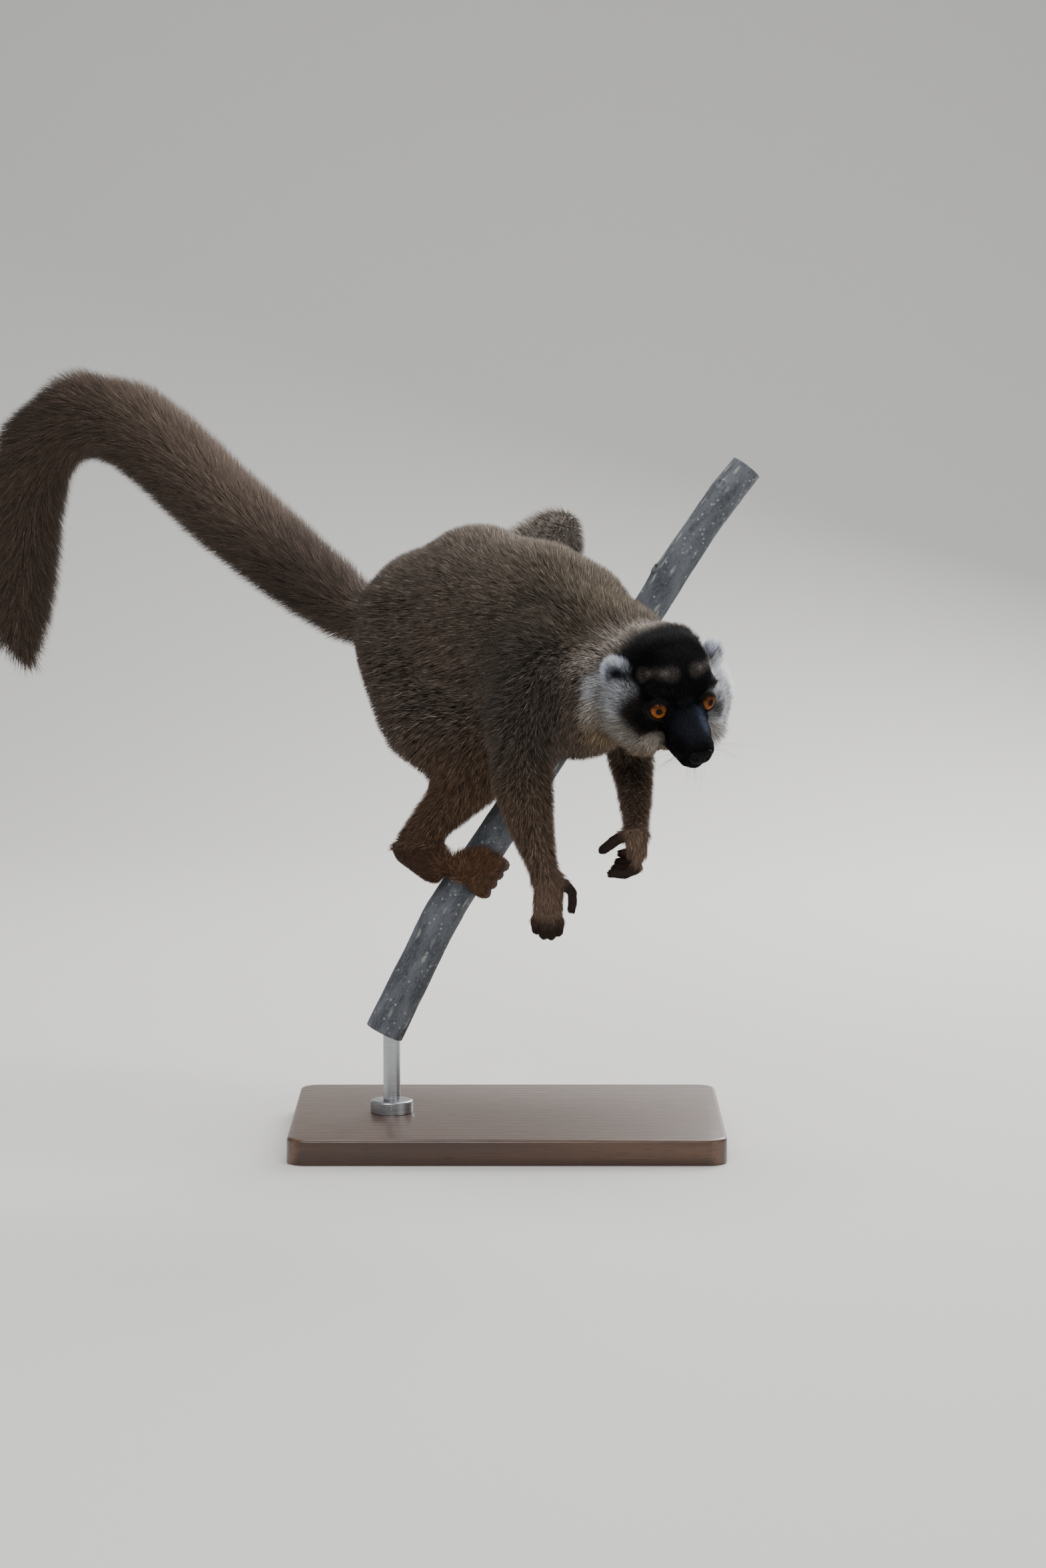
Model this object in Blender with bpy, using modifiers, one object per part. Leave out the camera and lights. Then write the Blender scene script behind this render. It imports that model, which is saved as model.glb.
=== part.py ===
"""Common brown lemur, life size, gripping a cut length of branch on a display stand.

Lengths are written in millimetres and turned to metres by at() and MM. +Z is up, the branch rises
towards +X, and the origin is on the underside of the stand's base, so the stand rests on Z = 0.
The animal is modelled to the tips of its coat. Balls and tapered links are fused by a voxel remesh
and smoothed into one body, and that body is parted into its named pieces with 0.3 mm between them.
"""

import math

import bmesh
import bpy
from mathutils import Euler, Matrix, Vector

MM = 0.001
GAP = 0.3 * MM  # clearance kept between neighbouring pieces
SIDES = (("left", 1), ("right", -1))


def at(x, y, z):
    """A place in the row frame, from millimetres."""
    return Vector((x, y, z)) * MM


# ---------------------------------------------------------------- driving places and sizes

# Perch: the axis of the branch, from its lower cut end to its upper one.
BRANCH_AXIS = (at(-86, -4, 75), at(-63, -3, 122), at(-42, -1, 163), at(-8, 3, 213), at(51, 10, 301),
               at(100, 16, 372), at(121, 20, 405), at(152, 26, 449), at(167, 29, 468))
BRANCH_RADIUS_LOW, BRANCH_RADIUS_HIGH = 13.5 * MM, 11.1 * MM

# Stand: a flat base with rounded corners and one steel rod in a collar.
BASE_SIZE = Vector((300, 220, 18)) * MM
BASE_CORNER, BASE_EDGE = 14 * MM, 2 * MM
ROD_PLACE = at(-81, -4, 0)
ROD_RADIUS, ROD_TOP = 6 * MM, 96 * MM
COLLAR_RADIUS, COLLAR_HEIGHT = 15 * MM, 9 * MM

# Trunk: its own frame is turned so that -Y points to the animal's front.
TRUNK_FRAME = Matrix.Rotation(math.radians(40), 4, "Z")
# Head: the frame's origin is midway between the pupils, and -Y is the way the face looks.
HEAD_FRAME = Matrix.LocRotScale(
    at(118, -125, 316), Euler((math.radians(29), math.radians(-9), math.radians(23)), "YXZ"), None)
# Places in it are in millimetres to the animal's left, forward and up; these are the left side's.
EYE_PLACE, EYE_RADII = (15.5, -6.5, 0), (8, 8, 8)
EAR_PLACE, EAR_RADII = (33, -33, 8.5), (9.5, 6.3, 12)
EAR_WALL, EAR_DISH = 2.2, 5.5  # thickness of the ear's shell, and how far forward its hollow sits
EAR_TILT, EAR_LEAN, EAR_FACING = -8, 14, 38  # degrees: back, outwards, and round to the side
NOSE_PLACE, NOSE_RADII = (0, 36, -17), (6.8, 4.2, 5)

# Limbs, neck and tail: chains of joints, each with the radius of the coat there in millimetres.
NECK = ((at(54, -62, 340), 50), (at(75, -70, 345), 42), (at(90, -86, 329), 37))
NECK_CUT = (at(68, -76, 336), at(44, -60, 342), at(92, -92, 330))  # its middle, behind, before
TAIL = ((at(-80, 62, 356), 27), (at(-104, 78, 361), 28), (at(-135, 98, 381), 31),
        (at(-168, 116, 406), 33.5), (at(-208, 140, 438), 35), (at(-243, 160, 470), 35.5),
        (at(-272, 174, 493), 35), (at(-312, 190, 504), 34), (at(-346, 202, 478), 34),
        (at(-357, 208, 436), 33), (at(-360, 210, 396), 32), (at(-362, 210, 356), 28),
        (at(-363, 210, 330), 21), (at(-363, 210, 318), 13))
TAIL_CUTS = (3, 5, 7, 9)  # stations where one length of tail meets the next
ARMS = {
    "right": ((at(24, -74, 338), 36), (at(8, -86, 300), 27), (at(10, -88, 262), 24),
              (at(17, -94, 228), 18.5), (at(26, -97, 197), 12.5)),
    "left": ((at(70, -42, 335), 36), (at(79, -22, 300), 25), (at(86, -13, 270), 18.5),
             (at(88, -48, 248), 15.5), (at(88, -80, 224), 11.5)),
}
LEGS = {
    "right": ((at(-60, 26, 332), 46), (at(-52, 4, 296), 41), (at(-18, -22, 290), 36),
              (at(9, -36, 287), 28), (at(-22, -24, 256), 24), (at(-48, -10, 229), 19.5),
              (at(-67, -2, 209), 15)),
    "left": ((at(-38, 62, 352), 44), (at(-2, 92, 384), 35), (at(34, 118, 418), 25),
             (at(33, 95, 372), 22), (at(26, 68, 334), 16), (at(22, 46, 309), 13)),
}
ELBOW, KNEE = 2, {"right": 3, "left": 2}  # stations of those joints in the chains above

# Hands: the palm's centre, its radii, and the four fingers as rows of joints.
FINGER_STEP = 5.6 * MM
HANDS = {
    "right": dict(palm=(at(28, -97, 180), (12.5, 9.5, 17)), first=at(20, 0, 0), along=Vector((1, 0, 0)),
                  finger=((at(0, -97, 174), 5.8), (at(0, -101, 163), 5.6), (at(0, -95, 157), 5),
                          (at(0, -86, 160), 4.4)),
                  thumb=((at(35, -99, 192), 6.5), (at(43, -104, 187), 5), (at(47, -107, 178), 4.2),
                         (at(46.5, -107, 171), 3.8))),
    "left": dict(palm=(at(88.5, -79, 214), (8.5, 11.5, 13)), first=at(0, -88, 0), along=Vector((0, 1, 0)),
                 finger=((at(88.5, 0, 208), 5.6), (at(86.5, 0, 201), 5.2), (at(79.5, 0, 199), 4.6),
                         (at(75.5, 0, 199), 4.2)),
                 thumb=((at(88, -84, 223), 7), (at(80, -88, 220), 5.4), (at(71, -88, 216), 4.9),
                        (at(66, -88, 213.5), 4.5))),
}

# Feet: where each one grips (branch stations and the share of the way between them), the angle
# of its sole round the branch, and the way and how far its toes close.
GRIPS = {
    "right": dict(start=BRANCH_AXIS[2], end=BRANCH_AXIS[3], share=0.58, sole=0, turn=1.0),
    "left": dict(start=BRANCH_AXIS[3], end=BRANCH_AXIS[5], share=0.56, sole=180, turn=-0.62),
}
FOOT_BRIDGE = {"right": ((at(-67, -2, 205), 17), (at(-50, -14, 193), 15.5)),
               "left": ((at(22, 46, 309), 13), (at(34, 38, 304), 12))}
TOES = (-12, -4.2, 3.6, 11)  # places along the branch, in millimetres from the grip's middle

# Fusing: voxel sizes, smoothing steps and about how many triangles are left.
BODY_VOXEL, DETAIL_VOXEL = 3.5 * MM, 1.9 * MM
TRUNK_STEPS, LIMB_STEPS, DETAIL_STEPS = 60, 18, 5
FINE_FACES, BODY_FACES = 60000, 2300
# Regions that part the body: how far they reach past the forms, and how they are fused.
REGION_GROW, REGION_VOXEL = 4.5 * MM, 4 * MM
REGION_STEPS, REGION_FACES = 16, 130
SHARP_ANGLE = math.radians(50)


# ---------------------------------------------------------------- shared makers

for thing in list(bpy.data.objects):
    bpy.data.objects.remove(thing, do_unlink=True)


def new_collection(name):
    made = bpy.data.collections.new(name)
    bpy.context.scene.collection.children.link(made)
    return made


LEMUR = new_collection("lemur")
CUTTERS = new_collection("cutters")


def new_object(name, mesh, collection):
    made = bpy.data.objects.new(name, mesh)
    collection.objects.link(made)
    if collection == CUTTERS:
        made.hide_render = True
        made.display_type = "WIRE"
    return made


def object_from(clay, name, collection):
    """An object from a bmesh, which is freed."""
    mesh = bpy.data.meshes.new(name)
    clay.to_mesh(mesh)
    clay.free()
    return new_object(name, mesh, collection)


def clay_again(solid):
    """A bmesh of the object, which is removed, so that more forms can be added to it."""
    clay = bmesh.new()
    clay.from_mesh(solid.data)
    bpy.data.objects.remove(solid)
    return clay


def settle(thing):
    """Applies the object's modifiers, so that what is left is a plain mesh."""
    bpy.context.view_layer.update()
    graph = bpy.context.evaluated_depsgraph_get()
    mesh = bpy.data.meshes.new_from_object(thing.evaluated_get(graph), depsgraph=graph)
    if thing.type == "CURVE":
        solid = new_object(thing.name, mesh, thing.users_collection[0])
        bpy.data.objects.remove(thing)
        return solid
    thing.modifiers.clear()
    thing.data = mesh
    return thing


def unit_ball(segments, rings):
    clay = bmesh.new()
    bmesh.ops.create_uvsphere(clay, u_segments=segments, v_segments=rings, radius=1)
    mesh = bpy.data.meshes.new("unit_ball")
    clay.to_mesh(mesh)
    clay.free()
    return mesh


UNIT_BALL = unit_ball(16, 10)
SMALL_BALL = unit_ball(14, 8)


def ball(clay, place, radii, frame=Matrix.Identity(4), grow=0.0, shape=UNIT_BALL):
    """Adds an ellipsoid; its radii, in millimetres, lie along the frame's axes."""
    size = [radius * MM + grow for radius in radii]
    shape = shape.copy()
    shape.transform(frame @ Matrix.Translation(place) @ Matrix.Diagonal((*size, 1)))
    clay.from_mesh(shape)
    bpy.data.meshes.remove(shape)


def rod(clay, start, end, radius_start, radius_end):
    """Adds a tapered rod between two places."""
    axis = end - start
    turn = axis.to_track_quat("Z", "Y").to_matrix().to_4x4()
    made = bmesh.new()
    bmesh.ops.create_cone(made, cap_ends=True, segments=24, radius1=radius_start,
                          radius2=radius_end, depth=axis.length,
                          matrix=Matrix.Translation((start + end) / 2) @ turn)
    shape = bpy.data.meshes.new("rod")
    made.to_mesh(shape)
    made.free()
    clay.from_mesh(shape)
    bpy.data.meshes.remove(shape)


def chain(clay, joints, frame=Matrix.Identity(4), grow=0.0):
    """Adds balls at the joints and tapered rods between them."""
    placed = [(frame @ place, radius) for place, radius in joints]
    for place, radius in placed:
        ball(clay, place, (radius,) * 3, grow=grow)
    for (start, radius_start), (end, radius_end) in zip(placed, placed[1:]):
        rod(clay, start, end, radius_start * MM + grow, radius_end * MM + grow)


def fuse(name, clay, voxel, smooth_steps, faces, collection):
    """One closed surface round all the forms in the clay, thinned to about so many faces."""
    body = object_from(clay, name, collection)
    remesh = body.modifiers.new("fuse", "REMESH")
    remesh.mode = "VOXEL"
    remesh.voxel_size = voxel
    smooth = body.modifiers.new("smooth", "SMOOTH")
    smooth.factor = 0.5
    smooth.iterations = smooth_steps
    settle(body)
    thin_out = body.modifiers.new("thin_out", "DECIMATE")
    thin_out.ratio = min(1, faces / (2 * len(body.data.polygons)))
    return settle(body)


# ---------------------------------------------------------------- the animal's forms

def trunk_ball(clay, place, radii):
    """An ellipsoid in the row frame; its radii run across, along and up the trunk."""
    ball(clay, Vector(), radii, Matrix.Translation(place) @ TRUNK_FRAME)


def trunk_forms(clay):
    trunk_ball(clay, at(-56, 40, 348), (55, 56, 68))  # rump
    trunk_ball(clay, at(-20, 10, 359), (59, 60, 76))  # loin and belly
    trunk_ball(clay, at(20, -26, 348), (57, 62, 78))  # ribs
    trunk_ball(clay, at(50, -60, 332), (51, 48, 66))  # shoulders
    trunk_ball(clay, at(54, -32, 356), (38, 42, 55))  # withers
    chain(clay, NECK)


def arm_forms(clay, side, grow=0.0):
    chain(clay, ARMS[side], grow=grow)


def leg_forms(clay, side, grow=0.0):
    chain(clay, LEGS[side], grow=grow)


def tail_forms(clay, grow=0.0):
    chain(clay, TAIL[1:], grow=grow)


def hand_forms(clay, side, grow=0.0):
    hand = HANDS[side]
    place, radii = hand["palm"]
    ball(clay, place, radii, grow=grow)
    for number in range(4):
        shift = hand["first"] + hand["along"] * FINGER_STEP * number
        chain(clay, [(joint + shift, radius) for joint, radius in hand["finger"]], grow=grow)
    chain(clay, hand["thumb"], grow=grow)


def round_branch(start, end, share, along, angle, reach):
    """A place beside the branch: angle 0 is in front of it, 90 on its lower right side."""
    axis = (end - start).normalized()
    front = Vector((0, -1, 0))
    front = (front - axis * front.dot(axis)).normalized()
    lower = front.cross(axis) * -1
    turn = math.radians(angle)
    centre = start.lerp(end, share) + axis * along * MM
    return centre + (front * math.cos(turn) + lower * math.sin(turn)) * reach * MM


def foot_forms(clay, side, grow=0.0):
    grip = GRIPS[side]

    def beside(along, angle, reach):
        return round_branch(grip["start"], grip["end"], grip["share"], along,
                            grip["sole"] + angle * grip["turn"], reach)

    chain(clay, [*FOOT_BRIDGE[side], (beside(0, -12, 21), 11)], grow=grow)
    for along in TOES:
        chain(clay, ((beside(along * 0.8, -8, 21.5), 8), (beside(along, 38, 18), 6.2),
                     (beside(along, 78, 15), 5.4), (beside(along, 118, 16.5), 5.2),
                     (beside(along, 150, 17.5), 4.6)), grow=grow)
    chain(clay, ((beside(-5, -20, 21), 8.5), (beside(-13, -55, 19.5), 7), (beside(-15, -100, 18), 6),
                 (beside(-12, -145, 17.5), 5.4)), grow=grow)  # great toe, closing the other way


def head_place(left, forward, up):
    """A place in the head's frame, from millimetres to the animal's left, forward and up."""
    return Vector((left, -forward, up)) * MM


def head_forms(clay, grow=0.0):
    def form(place, radii):
        ball(clay, head_place(*place), radii, HEAD_FRAME, grow)

    def ridge(*joints):
        chain(clay, [(head_place(*place), radius) for place, radius in joints], HEAD_FRAME, grow)

    form((0, -28, 8), (29, 34, 28.5))  # cranium
    form((0, -44, 4), (34, 22, 30))  # nape
    form((0, -10, -3), (23, 14, 18))  # face
    ridge(((0, -4, -8), 16), ((0, 11, -12), 13.5), ((0, 21, -15), 12), ((0, 27, -17), 11))  # muzzle
    ridge(((0, -8, -23), 14), ((0, 10, -26), 12.5), ((0, 20, -27), 10.5))  # lower jaw
    form((0, -17, -30), (22, 18, 17))  # throat
    for _, side in SIDES:
        form((16 * side, -7, 10), (11, 9, 8))  # brow
        form((21 * side, -13, -12), (14, 16, 16))  # cheek
        form((31 * side, -24, -17), (16, 17, 28))  # ruff
        form((22 * side, -14, -30), (16, 16, 15))  # beard


# ---------------------------------------------------------------- parting the body

def cut(solid, tool, operation):
    """One exact Boolean, applied; loose crumbs that it leaves are dropped."""
    modifier = solid.modifiers.new(operation.lower(), "BOOLEAN")
    modifier.operation = operation
    modifier.solver = "EXACT"
    modifier.object = tool
    settle(solid)
    keep_largest(solid)
    return solid


def keep_largest(solid):
    """Leaves only the connected body with the most faces."""
    clay = bmesh.new()
    clay.from_mesh(solid.data)
    waiting, bodies = set(clay.verts), []
    while waiting:
        front, body = [waiting.pop()], []
        while front:
            vert = front.pop()
            body.append(vert)
            for edge in vert.link_edges:
                other = edge.other_vert(vert)
                if other in waiting:
                    waiting.remove(other)
                    front.append(other)
        bodies.append(body)
    bodies.sort(key=len)
    for body in bodies[:-1]:
        bmesh.ops.delete(clay, geom=body, context="VERTS")
    clay.to_mesh(solid.data)
    clay.free()


def grown(tool, distance=GAP):
    """A copy of a cutter, larger by an even distance all round."""
    copy = new_object(tool.name + "_clear", tool.data.copy(), CUTTERS)
    clay = bmesh.new()
    clay.from_mesh(copy.data)
    clay.normal_update()
    moves = [(vert, vert.normal * distance * min(vert.calc_shell_factor(), 2)) for vert in clay.verts]
    for vert, move in moves:
        vert.co += move
    clay.to_mesh(copy.data)
    clay.free()
    return copy


def split(solid, region, name):
    """Takes the part of the solid inside the region out as a new piece, with a gap round it."""
    piece = new_object(name, solid.data.copy(), LEMUR)
    cut(piece, region, "INTERSECT")
    cut(solid, grown(region), "DIFFERENCE")
    cut(solid, grown(piece, GAP / 2), "DIFFERENCE")  # clears what a sharp fold of the region left
    return piece


def region_of(name, *makers):
    """A closed cutter a little larger than the forms that the makers add."""
    clay = bmesh.new()
    for maker, *given in makers:
        maker(clay, *given, grow=REGION_GROW)
    return fuse(name + "_region", clay, REGION_VOXEL, REGION_STEPS, REGION_FACES, CUTTERS)


def beyond(name, joint, before, after):
    """A large box past the plane that halves the bend at a joint."""
    way = ((after - joint).normalized() - (before - joint).normalized()).normalized()
    size = 400 * MM
    turn = way.to_track_quat("Z", "Y").to_matrix().to_4x4()
    clay = bmesh.new()
    bmesh.ops.create_cube(clay, size=size, matrix=Matrix.Translation(joint + way * size / 2) @ turn)
    return object_from(clay, name + "_region", CUTTERS)


def part_limb(solid, places, names):
    """Splits a whole limb at its joints; names run outwards, and the solid keeps the first."""
    solid.name = names[0]
    pieces = [solid]
    for name, (joint, before, after) in zip(names[1:], places):
        pieces.append(split(pieces[-1], beyond(name, joint, before, after), name))
    return pieces


# ---------------------------------------------------------------- the body, whole

# Three rounds of fusing: the trunk is smoothed most, the limbs and tail less, the fine forms least.
clay = bmesh.new()
trunk_forms(clay)
clay = clay_again(fuse("torso", clay, BODY_VOXEL, TRUNK_STEPS, FINE_FACES, CUTTERS))
tail_forms(clay)
for side, _ in SIDES:
    arm_forms(clay, side)
    leg_forms(clay, side)
clay = clay_again(fuse("torso_and_limbs", clay, BODY_VOXEL, LIMB_STEPS, FINE_FACES, CUTTERS))
head_forms(clay)
for side, _ in SIDES:
    hand_forms(clay, side)
    foot_forms(clay, side)
trunk = fuse("trunk", clay, DETAIL_VOXEL, DETAIL_STEPS, BODY_FACES, LEMUR)

# ---------------------------------------------------------------- the perch and the stand

def tapered_branch(name, extra, collection):
    """The branch as a curve with a round section that thins towards its top."""
    curve = bpy.data.curves.new(name, "CURVE")
    curve.dimensions = "3D"
    curve.bevel_depth = 1.0
    curve.bevel_resolution = 4
    curve.resolution_u = 2
    curve.use_fill_caps = True
    spline = curve.splines.new("BEZIER")
    spline.bezier_points.add(len(BRANCH_AXIS) - 1)
    for number, (point, place) in enumerate(zip(spline.bezier_points, BRANCH_AXIS)):
        point.co = place
        point.handle_left_type = point.handle_right_type = "AUTO"
        share = number / (len(BRANCH_AXIS) - 1)
        point.radius = BRANCH_RADIUS_LOW + (BRANCH_RADIUS_HIGH - BRANCH_RADIUS_LOW) * share + extra
    solid = settle(new_object(name, curve, collection))
    solid.name = name
    clay = bmesh.new()
    clay.from_mesh(solid.data)
    bmesh.ops.remove_doubles(clay, verts=clay.verts, dist=0.01 * MM)
    bmesh.ops.recalc_face_normals(clay, faces=clay.faces)
    clay.to_mesh(solid.data)
    clay.free()
    return solid


def upright(name, place, radius, bottom, top, collection, sides=20):
    """A round bar standing on the given height."""
    clay = bmesh.new()
    bmesh.ops.create_cone(clay, cap_ends=True, segments=sides, radius1=radius, radius2=radius,
                          depth=top - bottom,
                          matrix=Matrix.Translation((place.x, place.y, (bottom + top) / 2)))
    return object_from(clay, name, collection)


def rounded(solid, width):
    bevel = solid.modifiers.new("edges", "BEVEL")
    bevel.width = width
    bevel.segments = 1
    bevel.limit_method = "ANGLE"
    return solid


def stand():
    clay = bmesh.new()
    bmesh.ops.create_cube(clay, size=1, matrix=Matrix.Translation((0, 0, BASE_SIZE.z / 2))
                          @ Matrix.Diagonal((*BASE_SIZE, 1)))
    corners = [edge for edge in clay.edges if abs(edge.verts[0].co.z - edge.verts[1].co.z) > MM]
    bmesh.ops.bevel(clay, geom=corners, offset=BASE_CORNER, segments=4, affect="EDGES", profile=0.5)
    base = object_from(clay, "stand_base", LEMUR)
    settle(rounded(base, BASE_EDGE))
    collar = upright("stand_collar", ROD_PLACE, COLLAR_RADIUS, BASE_SIZE.z + GAP,
                     BASE_SIZE.z + COLLAR_HEIGHT, LEMUR)
    settle(rounded(collar, BASE_EDGE))
    upright("stand_rod", ROD_PLACE, ROD_RADIUS, BASE_SIZE.z + GAP, ROD_TOP, LEMUR)
    cut(collar, upright("collar_bore", ROD_PLACE, ROD_RADIUS + GAP, 0, ROD_TOP, CUTTERS), "DIFFERENCE")


branch = tapered_branch("perch_branch", 0, LEMUR)
cut(branch, upright("rod_hole", ROD_PLACE, ROD_RADIUS + GAP, 0, ROD_TOP + GAP, CUTTERS), "DIFFERENCE")
stand()
cut(trunk, tapered_branch("branch_clear", GAP, CUTTERS), "DIFFERENCE")

# ---------------------------------------------------------------- the body, parted

head = split(trunk, region_of("head", (head_forms,)), "head")
for side, _ in SIDES:
    arm = split(trunk, region_of("arm_" + side, (arm_forms, side), (hand_forms, side)),
                "upper_arm_" + side)
    joints = [place for place, _ in ARMS[side]]
    palm = HANDS[side]["palm"][0]
    part_limb(arm, ((joints[ELBOW], joints[ELBOW - 1], joints[ELBOW + 1]),
                    (joints[-1], joints[-2], palm)),
              ("upper_arm_" + side, "forearm_" + side, "hand_" + side))

    leg = split(trunk, region_of("leg_" + side, (leg_forms, side), (foot_forms, side)),
                "thigh_" + side)
    joints = [place for place, _ in LEGS[side]]
    knee = KNEE[side]
    part_limb(leg, ((joints[knee], joints[knee - 1], joints[knee + 1]),
                    (joints[-1], joints[-2], FOOT_BRIDGE[side][1][0])),
              ("thigh_" + side, "shank_" + side, "foot_" + side))

tail = split(trunk, region_of("tail", (tail_forms,)), "tail_1")
joints = [place for place, _ in TAIL]
part_limb(tail, [(joints[cut_at], joints[cut_at - 1], joints[cut_at + 1]) for cut_at in TAIL_CUTS],
          ["tail_%d" % number for number in range(1, len(TAIL_CUTS) + 2)])
neck = split(trunk, beyond("neck", *NECK_CUT), "neck")

# ---------------------------------------------------------------- eyes, ears and nose


def socketed(name, place, radii, turn=Matrix.Identity(4), dish=None):
    """A rounded piece seated in the head; a dish, in millimetres forward, hollows its front."""
    frame = HEAD_FRAME @ Matrix.Translation(head_place(*place)) @ turn
    clay = bmesh.new()
    ball(clay, Vector(), radii, frame, shape=SMALL_BALL)
    piece = object_from(clay, name, LEMUR)
    seat = new_object(name + "_seat", piece.data.copy(), CUTTERS)
    room = grown(seat)
    for carrier in (head, neck, trunk) if dish else (head,):
        cut(carrier, room, "DIFFERENCE")
    if dish:
        clay = bmesh.new()
        inner = [radius - EAR_WALL for radius in radii]
        ball(clay, head_place(0, dish, 0), inner, frame, shape=SMALL_BALL)
        cut(piece, object_from(clay, name + "_dish", CUTTERS), "DIFFERENCE")
    return piece


def on_side(place, sign):
    """The same place on the animal's left (+1) or right (-1)."""
    left, forward, up = place
    return left * sign, forward, up


for side, sign in SIDES:
    socketed("eye_" + side, on_side(EYE_PLACE, sign), EYE_RADII)
    turn = Euler([math.radians(part) for part in (EAR_TILT, EAR_LEAN * sign, EAR_FACING * sign)], "YXZ")
    socketed("ear_" + side, on_side(EAR_PLACE, sign), EAR_RADII, turn.to_matrix().to_4x4(), EAR_DISH)
socketed("nose", NOSE_PLACE, NOSE_RADII)

# ---------------------------------------------------------------- materials


def finish(name, colour, roughness, metallic=0.0):
    """A Principled material from an sRGB hex colour."""
    made = bpy.data.materials.new(name)
    made.use_nodes = True
    shader = made.node_tree.nodes["Principled BSDF"]
    parts = [int(colour[place:place + 2], 16) / 255 for place in (0, 2, 4)]
    linear = [part / 12.92 if part <= 0.04045 else ((part + 0.055) / 1.055) ** 2.4 for part in parts]
    shader.inputs["Base Color"].default_value = (*linear, 1)
    shader.inputs["Roughness"].default_value = roughness
    shader.inputs["Metallic"].default_value = metallic
    made.diffuse_color = (*linear, 1)
    return made


FINISHES = {
    "coat": finish("coat", "6f6357", 0.9),
    "mask": finish("mask", "1c1b1f", 0.85),
    "rufous": finish("rufous", "6b4a35", 0.9),
    "dusky": finish("dusky", "3d342f", 0.9),
    "ruff": finish("ruff", "b9b6b4", 0.9),
    "iris": finish("iris", "c8691c", 0.1),
    "leather": finish("leather", "121214", 0.4),
    "bark": finish("bark", "6d6a66", 0.85),
    "walnut": finish("walnut", "4b3223", 0.4),
    "steel": finish("steel", "8b8d90", 0.35, 1.0),
}
WORN_BY = (("eye_", "iris"), ("ear_", "ruff"), ("nose", "leather"), ("head", "mask"), ("tail_", "dusky"),
           ("hand_", "rufous"), ("foot_", "rufous"), ("perch_", "bark"), ("stand_base", "walnut"),
           ("stand_", "steel"), ("", "coat"))

for piece in LEMUR.objects:
    chosen = next(key for start, key in WORN_BY if piece.name.startswith(start))
    piece.data.materials.clear()
    piece.data.materials.append(FINISHES[chosen])
    piece.data.shade_smooth()
    piece.data.set_sharp_from_angle(angle=SHARP_ANGLE)
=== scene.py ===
import math

import bmesh
import bpy
import numpy as np
from mathutils import Matrix, Vector, kdtree, noise
from mathutils.bvhtree import BVHTree


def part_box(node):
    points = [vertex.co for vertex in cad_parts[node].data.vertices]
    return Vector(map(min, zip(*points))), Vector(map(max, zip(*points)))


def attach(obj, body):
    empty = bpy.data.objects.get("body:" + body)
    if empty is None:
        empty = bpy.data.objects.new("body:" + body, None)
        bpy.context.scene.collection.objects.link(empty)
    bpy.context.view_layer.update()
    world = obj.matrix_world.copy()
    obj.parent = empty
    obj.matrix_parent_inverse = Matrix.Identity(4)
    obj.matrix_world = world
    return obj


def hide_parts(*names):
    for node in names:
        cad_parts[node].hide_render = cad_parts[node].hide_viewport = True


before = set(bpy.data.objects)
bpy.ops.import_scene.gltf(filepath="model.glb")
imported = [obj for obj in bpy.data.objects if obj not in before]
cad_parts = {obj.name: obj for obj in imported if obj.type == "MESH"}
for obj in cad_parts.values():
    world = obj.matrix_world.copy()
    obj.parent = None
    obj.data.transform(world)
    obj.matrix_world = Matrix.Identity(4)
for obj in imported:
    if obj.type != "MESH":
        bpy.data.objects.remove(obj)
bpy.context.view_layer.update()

# ---------------------------------------------------------------- stand: base plate
# The foot of the display stand is a flat plate of walnut. Its corners are rounded, its edges are
# eased with a router, and it is sanded and finished with a satin varnish.

MM = 0.001


def linear(colour):
    """A linear RGBA colour from an sRGB hex value."""
    parts = [int(colour[place:place + 2], 16) / 255 for place in (0, 2, 4)]
    return tuple(p / 12.92 if p <= 0.04045 else ((p + 0.055) / 1.055) ** 2.4 for p in parts) + (1.0,)


def add(tree, kind, inputs=None, **settings):
    """Adds a node to a tree; inputs are values, or the sockets that feed it."""
    node = tree.nodes.new(kind)
    for name, value in settings.items():
        setattr(node, name, value)
    for key, value in (inputs or {}).items():
        if isinstance(value, bpy.types.NodeSocket):
            tree.links.new(value, node.inputs[key])
        else:
            node.inputs[key].default_value = value
    return node


def new_material(name, **constants):
    """A Principled material; constants are set on the shader's own sockets."""
    made = bpy.data.materials.new(name)
    made.use_nodes = True
    shader = made.node_tree.nodes["Principled BSDF"]
    for socket, value in constants.items():
        shader.inputs[socket.replace("_", " ")].default_value = value
    return made, made.node_tree, shader


def wire(tree, shader, **outputs):
    """Links sockets to the shader's inputs; an input's name has _ for each space."""
    for socket, output in outputs.items():
        tree.links.new(output, shader.inputs[socket.replace("_", " ")])


def new_piece(name, mesh, material, replaced=(), smooth=True):
    """A finished piece at the origin, riding on the one body."""
    piece = bpy.data.objects.new(name, mesh)
    bpy.context.scene.collection.objects.link(piece)
    mesh.materials.clear()
    mesh.materials.append(material)
    if smooth:
        mesh.shade_smooth()
    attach(piece, "root")
    if replaced:
        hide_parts(*replaced)
    return piece


def mesh_from(clay, name):
    mesh = bpy.data.meshes.new(name)
    clay.to_mesh(mesh)
    clay.free()
    return mesh


walnut, tree, shader = new_material("satin varnished walnut", Coat_Weight=0.35, Coat_Roughness=0.22)
place = add(tree, "ShaderNodeTexCoord").outputs["Object"]
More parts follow.
